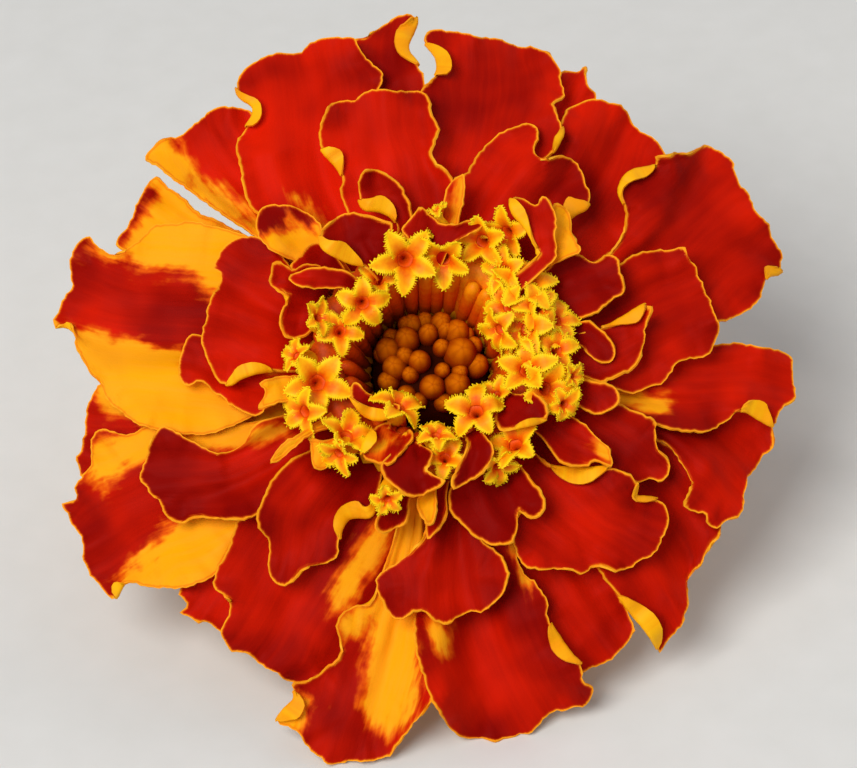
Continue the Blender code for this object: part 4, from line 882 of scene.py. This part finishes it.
def blade_sheet(name, edges, level, root, rise, cup, number):
    """Place, plan and distance from the margin of every point of one blade."""
    chance = np.random.default_rng(number + 11)
    plan = blade_plan(edges, root[0])
    across, along = plan.shape[0] - 1, plan.shape[1] - 1
    u = np.linspace(0, 1, across + 1)[:, None]
    v = np.linspace(0, 1, along + 1)[None, :]
    line = np.array([plan[i, j] for i, j in edge_line(plan)])
    run = run_along(line)
    gap = np.linalg.norm(plan[:, :, None] - line[None, None], axis=-1)
    inward = gap.min(-1)
    station = run[gap.argmin(-1)]
    reach = np.linalg.norm(plan, axis=-1)
    width = np.clip(np.linalg.norm(plan[0] - plan[-1], axis=-1) / BROAD, 0, 1)[None, :]
    droop, twist = RESTING.get(name, (0.0, 0.0))
    height = np.interp(reach, [p[0] for p in rise], [p[1] for p in rise])
    height += 0.45 * width * v ** 2 * np.cos(2 * math.pi * (1.5 * u + 0.37 * number))
    height += 0.5 * width * np.sin(math.pi * v) * (2 * u - 1) ** 2
    height += (droop + twist * (2 * u - 1)) * v ** 2
    depth = CUPPED.get(name, cup)
    height += depth * (np.exp(-inward / CUP_RIM) - 0.45) * v
    frill = chance.uniform(0, 6.28, 6)
    ripple = (np.sin(station * 1.1 + frill[0]) + 0.7 * np.sin(station * 2.1 + frill[1])
              + 0.35 * np.sin(station * 4.3 + frill[2]))
    height += FRILL * ripple * np.exp(-inward / FRILL_RIM) * v ** 0.7
    bow = 0.5 * np.sin(v * 4 + frill[3])
    fold = (0.42 * np.sin(u * 8 + frill[4] + bow) + 0.26 * np.sin(u * 15 + frill[5] + bow)
            + 0.14 * np.sin(u * 27 + frill[0] + bow))
    height += width * fold * np.sin(math.pi * np.clip(v, 0, 0.85)) * 0.9
    height[:, 0] = root[1] + ROOT_STAGGER * (number % 3 - 1)
    free = height.copy()
    for _ in range(PASSES):
        spot = raised(plan, height, level, v)
        x, y = cells(spot)
        top = np.max([laid[x + i, y + j] for i in (-1, 0, 1) for j in (-1, 0, 1)], 0)
        need = np.clip(top + THICK + AIR - height, 0, LIFT)
        out = np.linalg.norm(spot[..., :2], axis=-1) - root[0] - CLEAR_FROM
        need = need * np.clip(out / CLEAR_RUN, 0, 1)
        lift = relaxed(relaxed(need, 24, need), 6)
        height = np.minimum(height + lift, free + LIFT)
    return raised(plan, height, level, v), plan, inward


def face_up(bm, middle):
    """Turns all faces of a blade the same way, upward at the vertex in its middle."""
    bmesh.ops.recalc_face_normals(bm, faces=bm.faces[:])
    if middle.normal.z < 0:
        bmesh.ops.reverse_faces(bm, faces=bm.faces[:])


def sheet(bm, across, along):
    """A new grid in the mesh, as vertices by column and row."""
    made = bmesh.ops.create_grid(bm, x_segments=across, y_segments=along, size=1.0)["verts"]
    return {(round((v.co.x + 1) / 2 * across), round((v.co.y + 1) / 2 * along)): v for v in made}


ROLL_RADIUS = 0.16          # most that a rolled margin has
ARC_STEPS = 5               # steps round the bend of a roll
RUN_STEPS = 3               # steps back over the blade
FADE = 0.6                  # how softly gold turns into red, in mm
NO_RIM = 2.0                # distance from the margin where none is wanted, at the root
SEED_STEP = 3.7


def petal(name, edges, level, root, rise, cup, number):
    """One finished ray petal."""
    spot, plan, inward = blade_sheet(name, edges, level, root, rise, cup, number)
    across, along = plan.shape[0] - 1, plan.shape[1] - 1
    border = edge_line(plan)
    line = np.array([plan[i, j] for i, j in border])
    rolled = np.zeros(len(border))
    for first, last, wide, *peak in ROLLS.get(name, []):
        a, b = (int(np.linalg.norm(line - polar(*p), axis=1).argmin()) for p in (first, last))
        if abs(b - a) > 2:
            part = np.linspace(0, 1, abs(b - a) + 1)
            part = part ** (math.log(0.5) / math.log(peak[0] if peak else 0.5))
            wave = wide * np.sin(math.pi * np.clip(part, 0.02, 0.98)) ** 0.9
            rolled[min(a, b):max(a, b) + 1] = wave if a < b else wave[::-1]

    bm = bmesh.new()
    crosswise, lengthwise, edge_gaps, golds, seeds, lights = stored(
        bm, "across", "along", "inward", "gold", "seed", "light")
    at = sheet(bm, across, along)
    middle = at[across // 2, along // 2]
    patch = np.zeros(inward.shape)
    runs = RED_STRIPE.get(name) or GOLD.get(name, [])
    for b1, r1, b2, r2, half in runs:
        away = to_run(plan, polar(b1, r1), polar(b2, r2))
        patch = np.maximum(patch, 1.0 / (1.0 + np.exp((away - half) / FADE)))
    if name in RED_STRIPE:
        patch = 1.0 - patch
    column = (np.linspace(-0.5, 0.5, across + 1)[:, None]
              * np.linalg.norm(plan[0] - plan[-1], axis=-1)[None, :])
    row = np.linspace(0, along * STEP, along + 1)
    # This petal's painted light and shade.
    petal_painted_light = PAINTED_LIGHT.get(name, 0.5)
    for (i, j), vert in at.items():
        vert.co = spot[i, j]
        vert[crosswise] = column[i, j]
        vert[lengthwise] = row[j]
        vert[edge_gaps] = inward[i, j] if j else NO_RIM
        vert[golds] = patch[i, j]
        vert[seeds] = SEED_STEP * number
        # Painted shade: the red is darker towards the root of the petal.
        vert[lights] = petal_painted_light * (0.75 + 0.25 * min(1.0, row[j] / 9.0))
    face_up(bm, middle)
    bm.normal_update()

    flat = spot.reshape(-1, 3)
    verts = [at[p] for p in border]
    places = np.array([spot[p] for p in border])
    ends = np.flatnonzero(np.diff(np.r_[0, rolled > 0, 0]))
    for first, stop in zip(ends[::2], ends[1::2]):
        chosen = range(first, stop)
        ahead = np.array([places[min(k + 2, len(places) - 1)] - places[max(k - 2, 0)]
                          for k in chosen])[:, :2]
        out = np.stack((-ahead[:, 1], ahead[:, 0]), -1)
        out /= np.linalg.norm(out, axis=1)[:, None]
        out = np.array([out[max(0, k - 3):k + 4].mean(0) for k in range(len(out))])
        base = np.array([places[max(first, k - 1):min(stop, k + 2)].mean(0) for k in chosen])
        radius = np.minimum(ROLL_RADIUS, 0.35 * rolled[first:stop] + 0.01)
        base[:, :2] -= out * radius[:, None]
        row_now = [verts[k] for k in chosen]
        for vert, place in zip(row_now, base):
            vert.co = place
        edges_now = [next(e for e in p.link_edges if e.other_vert(p) is q)
                     for p, q in zip(row_now, row_now[1:])]
        for k in range(1, ARC_STEPS + RUN_STEPS + 1):
            made = bmesh.ops.extrude_edge_only(bm, edges=edges_now)["geom"]
            fresh = {g for g in made if isinstance(g, bmesh.types.BMVert)}
            edges_now = [g for g in made if isinstance(g, bmesh.types.BMEdge)
                         and g.verts[0] in fresh and g.verts[1] in fresh]
            row_now = [next(e.other_vert(v) for e in v.link_edges if e.other_vert(v) in fresh)
                       for v in row_now]
            angle = math.pi * min(k, ARC_STEPS) / ARC_STEPS
            part = max(0, k - ARC_STEPS) / RUN_STEPS
            for m, vert in enumerate(row_now):
                back = part * max(0.0, rolled[first + m] - radius[m])
                plan_now = base[m, :2] + out[m] * (radius[m] * math.sin(angle) - back)
                under = flat[np.linalg.norm(flat[:, :2] - plan_now, axis=1).argmin(), 2]
                top = base[m, 2] + radius[m] * (1 - math.cos(angle))
                curl = max(top, under + 2 * radius[m] * min(1.0, 4 * part))
                vert.co = (*plan_now, top if not part else curl + 0.1 * part)
                vert[edge_gaps] = 0.0
    face_up(bm, middle)

    for edge in bm.edges:
        edge.smooth = not edge.is_boundary
    x, y = cells(np.array([v.co for v in bm.verts]))
    np.maximum.at(laid, (x, y), np.array([v.co.z for v in bm.verts]))
    obj = finish("petal_" + name, bm, [red_top, gold_under, gold_rim], "ray_florets")
    thick = obj.modifiers.new("blade", "SOLIDIFY")
    thick.thickness = THICK * 0.001
    thick.offset = -1.0
    thick.material_offset = 1
    thick.material_offset_rim = 2


for petals, level, root, rise, cup in LAYERS:
    for number, (name, edges) in enumerate(petals.items()):
        petal(name, edges, level, root, rise, cup, number)

# Claws: under the blades the narrow yellow feet of the petals stand side by side in a funnel
# that runs down into the cup.
CLAWS = 44
funnel = curve_through([(5.3, 11.4), (5.45, 13.5), (5.65, 15.0), (7.2, 17.2), (8.5, 18.4),
                        (8.9, 18.9)], 6)
profile = [tuple(p) for p in funnel] + [(8.3, 19.1), (7.7, 18.7), (6.25, 17.6), (4.5, 15.2),
                                        (4.4, 11.4)]
bm = turned(profile, 4 * CLAWS, True)
crosswise, lengthwise = stored(bm, "across", "along")
for vert in bm.verts:
    angle = math.atan2(vert.co.y, vert.co.x)
    foot = 1.0 - 0.045 * abs(math.sin(CLAWS / 2 * angle)) ** 2
    vert[crosswise] = abs(angle) * 6.0
    vert[lengthwise] = vert.co.z
    vert.co.x *= foot
    vert.co.y *= foot
finish("claws", bm, [gold_under], "ray_florets")

# Disc florets: a ring of golden tubes rooted inside the cup. Each opens in a five-lobed star,
# pointed and curled back, orange to red in its throat, with a comb of short hairs on its edges.
# A row is bearing, reach, size, the bearing it faces, how far it is tipped that way, and the
# bearing of one of its lobes.
STARS = (
    (104.5, 6.9, 2.5, 270, 14, 266), (144, 5.9, 2.1, 300, 12, 306), (166.5, 6.6, 1.8, 340, 10, 60),
    (125, 6.5, 1.5, 125, 5, 0), (82, 6.7, 2.2, 270, 28, 60), (66, 8.9, 2.1, 240, 24, 20),
    (48.5, 7.9, 1.8, 200, 15, 90), (35, 8.3, 2.4, 60, 15, 20), (32, 6.3, 1.9, 200, 30, 190),
    (14.6, 7, 2.3, 190, 25, 150), (15, 9.6, 2, 15, 25, 12), (17, 4.9, 1.9, 197, 48, 197),
    (349.4, 6.9, 2.2, 170, 15, 162), (0, 6.2, 1.6, 180, 20, 100), (1.5, 9.1, 1.9, 0, 20, 10),
    (342, 8.8, 2.1, 340, 20, 352), (312, 8.9, 2.1, 110, 25, 30), (307, 5.3, 2.3, 120, 8, 90),
    (278, 7.7, 1.7, 90, 10, 120), (300, 9.9, 1.5, 290, 45, 290), (327, 5.5, 1.4, 150, 20, 142),
    (196, 8.3, 2.5, 330, 12, 342), (226, 8.3, 2.1, 60, 20, 80), (242, 4.3, 2.1, 60, 40, 82),
    (206, 10.2, 1.9, 206, 30, 214), (181, 9.8, 1.3, 180, 30, 160), (88.2, 10.7, 0.9, 90, 50, 90),
    (254.5, 11.3, 1.3, 250, 35, 250), (229, 10.1, 1.6, 230, 35, 220), (338, 10.5, 1.4, 338, 35, 335),
    (58.5, 10.2, 2, 240, 30, 80), (350, 10.6, 1, 350, 40, 355), (24, 8.4, 1.9, 30, 20, 40),
    (7, 8, 1.8, 180, 10, 60), (96, 8.9, 1.3, 100, 40, 60), (275, 5.9, 1.5, 90, 25, 60),
    (162, 8.2, 1.3, 340, 35, 150),
)
STAR_LEVEL = 22.5           # height of the open florets
ROOT_LEVEL = 13.0           # height at which the tubes stand in the cup
LOBES = 5
FULLER = 1.1                # how much larger a star is than its row says
THROAT = 0.24               # radius of the throat, as a share of the size
OPENING = 64                # how steeply a lobe leaves the throat, in degrees
FALL = -14                  # how steeply it ends
LOBE_HALF = 0.33            # half width of a lobe, as a share of the size
LOBE_GRID = (4, 30)
HAIR = (0.13, 0.25)         # shortest and longest hair
HAIR_HALF = 0.22            # half width of a hair at its tip, as a share of its base
HAIR_TONE = 1.8             # beyond the brightest tone, so that the hairs stand out

star_gold = Look("floret gold", 0.5, Specular_IOR_Level=0.12)
tone = star_gold.held("tone")
mottle = star_gold.grain(1800.0, 3.0)
shade = tone + (mottle - 0.5) * 0.3
deep = star_gold.mix(shade.step(-0.05, 0.3), rgb(128, 40, 0), rgb(232, 84, 2))
warm = star_gold.mix(shade.step(0.25, 0.6), deep, rgb(252, 158, 4))
warm = star_gold.mix(shade.step(0.5, 0.82), warm, rgb(255, 208, 10))
star_gold.colour(star_gold.mix(shade.step(1.0, 1.6), warm, rgb(255, 214, 20)))
star_gold.bump(mottle, 0.35, 0.00008)
SIDES = 12                  # of a tube


def tube(bm, tones, path, radii, shades):
    """A round tube along a path, welded down its seam."""
    at = sheet(bm, SIDES, len(path) - 1)
    for (i, j), vert in at.items():
        ahead = (path[min(j + 1, len(path) - 1)] - path[max(j - 1, 0)]).normalized()
        side = ahead.cross(Vector((1.0, 0.2, 0.0))).normalized()
        angle = 2 * math.pi * i / SIDES
        vert.co = path[j] + radii[j] * (math.cos(angle) * side
                                        + math.sin(angle) * ahead.cross(side))
        vert[tones] = shades[j]
    seam = [at[i, j] for i in (0, SIDES) for j in range(len(path))]
    bmesh.ops.remove_doubles(bm, verts=seam, dist=1e-4)


def star(bm, tones, row):
    """One open floret: its tube, and five fringed lobes round its throat."""
    chance = random.Random(round(10 * row[0]))
    bearing, reach, size, facing, tipped, lobe_at = row
    size *= FULLER
    facing += chance.uniform(-25, 25)
    tipped += chance.uniform(-6, 14)
    z = STAR_LEVEL + chance.uniform(-0.7, 0.5)
    x, y = polar(bearing, reach)
    centre = Vector((x, y - (z - STAR_LEVEL) * SIGHT, z))
    lean = math.radians(tipped)
    face = Vector((*polar(facing, math.sin(lean)), math.cos(lean)))
    throat = THROAT * size
    foot = Vector((*polar(bearing, 4.75 + 0.1 * max(0.0, reach - 6.0)), ROOT_LEVEL))
    bend = foot.lerp(centre, 0.55)
    bend.z += 1.0
    below = centre - face * 2.4
    path = []
    for k in range(9):
        t = k / 8
        path.append(foot * (1 - t) ** 3 + bend * 3 * t * (1 - t) ** 2
                    + (below + face * 0.6) * 3 * t * t * (1 - t) + (centre - face * 0.5) * t ** 3)
    radii = [0.5, 0.5, 0.52, 0.55, 0.6, 0.68, 0.74, 0.8 * throat + 0.12, throat + 0.05]
    # Painted shade: the tube darkens towards its foot, down in the cup.
    shades = [0.1, 0.12, 0.18, 0.25, 0.35, 0.5, 0.6, 0.66, 0.7]
    tube(bm, tones, path, radii, shades)
    well = [centre - face * 1.3, centre - face * 0.9, centre - face * 0.5]
    tube(bm, tones, well, [0.02, throat * 0.6, throat * 0.98], [0.12, 0.2, 0.3])

    u_axis = face.orthogonal().normalized()
    v_axis = face.cross(u_axis)
    wanted = Vector((*polar(lobe_at, 1.0), 0.0))
    first = math.atan2(wanted.dot(v_axis), wanted.dot(u_axis))
    across, along = LOBE_GRID
    spread = chance.uniform(-0.5, 0.5)
    for lobe in range(LOBES):
        middle = first + 2 * math.pi * lobe / LOBES + chance.uniform(-0.1, 0.1)
        length = (size - throat) * chance.uniform(0.95, 1.2)
        opening = math.radians(OPENING + chance.uniform(-10, 10))
        fall = math.radians(FALL + 50 * spread + chance.uniform(-26, 26))
        twist = chance.uniform(-0.35, 0.35)
        at = sheet(bm, across, along)
        centre_line = []
        rho, rise = throat * 0.9, -0.5
        for j in range(along + 1):
            t = j / along
            centre_line.append((rho, rise))
            slope = opening + (fall - opening) * min(1.0, 1.6 * t)
            rho += math.cos(slope) * length / along
            rise += math.sin(slope) * length / along
        outward = u_axis * math.cos(middle) + v_axis * math.sin(middle)
        aside = face.cross(outward)
        for (i, j), vert in at.items():
            s = 2 * i / across - 1
            t = j / along
            rho, rise = centre_line[j]
            half = LOBE_HALF * size * (1 - t) ** 0.8 * (0.58 + 1.5 * t) + 0.02
            wave = 0.05 * math.sin(9 * t + 5 * s + middle)
            vert.co = (centre + outward * (rho - 0.12 * s * s * (1 - t)) + aside * s * half
                       + face * (rise + 0.16 * s * s * half + twist * s * half * t + wave * abs(s)))
            vert[tones] = 0.2 + 0.44 * t ** 0.75 + 0.4 * abs(s) ** 2.2
        feet = [(at[i, j], at[i, j + 1]) for i in (0, across) for j in range(3, along, 2)]
        chosen = [next(e for e in a.link_edges if e.other_vert(a) is b) for a, b in feet]
        made = bmesh.ops.extrude_edge_only(bm, edges=chosen)["geom"]
        strips = [g for g in made if isinstance(g, bmesh.types.BMFace)]
        for base in feet:
            strip = next(f for f in strips if base[0] in f.verts and base[1] in f.verts)
            tip = [v for v in strip.verts if v not in base]
            spot = (base[0].co + base[1].co) / 2
            side = 1 if (spot - centre).dot(aside) > 0 else -1
            away = (aside * side * chance.uniform(0.1, 1.0) + outward * chance.uniform(-0.2, 0.6)
                    + face * chance.uniform(0.2, 0.8)).normalized()
            end = spot + away * chance.uniform(*HAIR)
            half_base = (base[0].co - base[1].co) * HAIR_HALF
            tip.sort(key=lambda v: (v.co - base[0].co).length)
            tip[0].co = end + half_base
            tip[1].co = end - half_base
            for vert in tip:
                vert[tones] = HAIR_TONE


# The packed lower tubes that the open ones rise from.
bm = turned([(4.45, ROOT_LEVEL), (4.75, 16.0), (5.9, 19.5), (6.4, 20.6), (7.4, 20.9), (8.3, 20.6),
             (8.4, 20.0), (7.3, 19.3), (5.6, 17.6), (4.9, 14.0)], 220, True)
tones = bm.verts.layers.float.new("tone")
for vert in bm.verts:
    angle = math.atan2(vert.co.y, vert.co.x)
    rib = 1.0 + 0.03 * abs(math.sin(22 * angle))
    # Painted shade lower down in the cup, and painted light on the side of the ring towards bearing
    # 60 degrees.
    vert[tones] = 0.02 * (vert.co.z - ROOT_LEVEL) + 0.3 * max(0.0, math.cos(angle - math.radians(60)))
    vert.co.x *= rib
    vert.co.y *= rib
finish("packed_tubes", bm, [star_gold], "disc_florets")

# The open florets and some closed tubes between them, one piece for each quarter of the ring.
CLOSED = 8
CLOSED_TOP = 21.1
CLOSED_REACH = 6.3
WALL = 0.0001               # thickness of lobes and tubes, in m
chance = random.Random(5)
for quarter in range(4):
    bm = bmesh.new()
    tones = bm.verts.layers.float.new("tone")
    for row in STARS:
        if int(row[0] // 90) == quarter:
            star(bm, tones, row)
    for k in range(CLOSED):
        bearing = 90 * quarter + 90 / CLOSED * k + 5
        top = CLOSED_TOP + chance.uniform(-0.5, 0.3)
        foot = Vector((*polar(bearing, 4.35), ROOT_LEVEL))
        head = Vector((*polar(bearing + chance.uniform(-3, 3),
                              CLOSED_REACH + chance.uniform(-0.25, 0.25)), top))
        path = [foot.lerp(head, t) for t in (0, 0.3, 0.55, 0.75, 0.88, 0.96, 1.0)]
        # Painted light on the side of the ring towards bearing 60 degrees; the tube darkens towards
        # its foot as painted shade.
        pale = 0.22 * max(0.0, math.cos(math.radians(bearing - 60)))
        tube(bm, tones, path, [0.42, 0.46, 0.5, 0.56, 0.55, 0.4, 0.02],
             [shade + pale for shade in (-0.1, -0.02, 0.06, 0.14, 0.22, 0.26, 0.28)])
    bmesh.ops.recalc_face_normals(bm, faces=bm.faces[:])
    obj = finish("florets_" + str(quarter + 1), bm, [star_gold], "disc_florets")
    wall = obj.modifiers.new("wall", "SOLIDIFY")
    wall.thickness = WALL
    wall.offset = 0.0

# Buds: the unopened florets in the middle, smooth brown-orange ovals packed on a dark dome at the
# bottom of the hollow.
# The dome's dark colour is painted shade between the buds, and each bud has a painted highlight on
# its top and painted shade in its grooves. A row is bearing, reach and radius.
BUDS = (
    (176.7, 3.2, 0.95), (151.4, 1.9, 0.88), (95, 1.33, 0.7), (70.6, 3, 0.8), (39.3, 2.9, 0.95),
    (357, 2.2, 1.15), (223, 1.02, 0.78), (204.7, 2.75, 0.9), (309, 3.1, 0.93), (274, 2.6, 0.9),
    (303.8, 1.64, 0.55), (216.4, 3.7, 0.77), (345, 3.8, 0.85), (120, 3.2, 0.75), (12, 3.9, 0.7),
    (242, 3.6, 0.7), (285, 3.9, 0.7), (98, 3.9, 0.7), (20, 0.9, 0.6), (230, 2.2, 0.6),
    (190, 1.8, 0.65), (325, 2.6, 0.6), (55, 1.9, 0.6), (130, 2.9, 0.6), (180, 4, 0.6),
    (155, 3.7, 0.65), (75, 3.9, 0.65), (30, 3.9, 0.6), (258, 3.7, 0.6),
)
HOLLOW = 4.3                # radius that the buds stay inside
BUD_LEVEL = 17.0            # height of the middle one
PLUMPER = 1.08              # how much larger a bud is than its row says
TALLER = 1.6                # height of a bud against its width
bud_brown = Look("bud brown", 0.65, Specular_IOR_Level=0.02)
tone = bud_brown.held("tone")
mottle = bud_brown.grain(1500.0, 3.0)
shade = tone + (mottle - 0.5) * 0.25
# The darkest browns are painted shade, for the dome and the grooves of the buds.
low = bud_brown.mix(shade.step(0.0, 0.5), rgb(50, 10, 0), rgb(148, 48, 0))
bud_brown.colour(bud_brown.mix(shade.step(0.4, 1.05), low, rgb(214, 112, 2)))
bud_brown.bump(mottle, 0.25, 0.00006)

bm = turned([(0.0, 14.8), (3.0, 14.85), (4.1, 14.95), (4.2, 15.3), (2.6, 16.0), (1.5, 16.4),
             (0.0, 16.5)], 40, False)
tones = bm.verts.layers.float.new("tone")
for vert in bm.verts:
    # Painted shade: the dome between the buds takes the darkest brown.
    vert[tones] = -0.2
for bearing, reach, radius in BUDS:
    radius *= PLUMPER
    x, y = polar(bearing, reach)
    z = BUD_LEVEL - 0.06 * reach ** 2
    y -= (z - STAR_LEVEL) * SIGHT
    out = math.hypot(x, y)
    if out + radius > HOLLOW:
        x *= (HOLLOW - radius) / out
        y *= (HOLLOW - radius) / out
    made = bmesh.ops.create_uvsphere(bm, u_segments=30, v_segments=16, radius=radius)["verts"]
    for vert in made:
        up = vert.co.z / radius
        angle = math.atan2(vert.co.y, vert.co.x)
        pinch = 1.0 - 0.1 * max(0.0, up) ** 2 * (1.0 - abs(math.sin(2.5 * angle)) ** 0.5)
        # Painted highlight on the top of each bud, painted shade in its grooves.
        vert[tones] = 0.35 + 0.65 * max(0.0, up) ** 1.5 - (1.0 - pinch) * 3.0
        vert.co.x *= pinch
        vert.co.y *= pinch
        vert.co.z *= TALLER
        vert.co.x += x + 0.08 * x * up
        vert.co.y += y + 0.08 * y * up
        vert.co.z += z - 0.3 * radius
bmesh.ops.recalc_face_normals(bm, faces=bm.faces[:])
finish("buds", bm, [bud_brown], "disc_buds")

# Floor: a matt off-white sweep that the bloom lies on.
paper = Look("floor paper", 0.85, Specular_IOR_Level=0.2)
tooth = paper.grain(300.0, 4.0)
paper.colour(paper.mix(tooth, rgb(216, 214, 208), rgb(224, 222, 217)))
paper.bump(tooth, 0.05, 0.0002)
bm = bmesh.new()
bmesh.ops.create_circle(bm, cap_ends=True, segments=96, radius=2.0)
mesh = bpy.data.meshes.new("floor")
bm.to_mesh(mesh)
bm.free()
mesh.transform(Matrix.Translation((0.0, 0.0, cad_box[0][2])))
mesh.materials.append(paper.mat)
floor = bpy.data.objects.new("floor", mesh)
bpy.context.scene.collection.objects.link(floor)

# Light: an even pale sky, a wide soft key behind the camera's left shoulder and a weak fill.
world = bpy.data.worlds.new("studio")
world.use_nodes = True
sky = world.node_tree.nodes["Background"].inputs
sky["Color"].default_value = rgb(236, 240, 248)
sky["Strength"].default_value = 0.36
bpy.context.scene.world = world
for name, spot, size, power in (("key", (-0.2, -0.3, 0.45), 0.3, 2.7),
                                ("fill", (0.35, 0.25, 0.35), 0.4, 0.6)):
    data = bpy.data.lights.new(name, "AREA")
    data.size = size
    data.energy = power
    lamp = bpy.data.objects.new(name, data)
    lamp.location = spot
    lamp.rotation_euler = (Vector((0, 0, 0.02)) - lamp.location).to_track_quat("-Z", "Y").to_euler()
    bpy.context.scene.collection.objects.link(lamp)

# Camera: looks down on the open bloom, twelve degrees off its axis towards the stalk's far side.
AIM = Vector((-0.1, -2.3, 22.0))
AWAY = 220.0
data = bpy.data.cameras.new("camera")
data.lens = 129.4
data.sensor_width = 36.0
data.clip_start = 0.01
camera = bpy.data.objects.new("camera", data)
back = Matrix.Rotation(VIEW_ANGLE, 3, "X") @ Vector((0.0, 0.0, 1.0))
turn_only = POSE.to_quaternion().to_matrix().to_4x4()
camera.matrix_world = (Matrix.Translation(POSE @ (AIM + back * AWAY)) @ turn_only
                       @ Matrix.Rotation(VIEW_ANGLE, 4, "X"))
bpy.context.scene.collection.objects.link(camera)
bpy.context.scene.camera = camera
bpy.context.scene.view_settings.view_transform = "Standard"
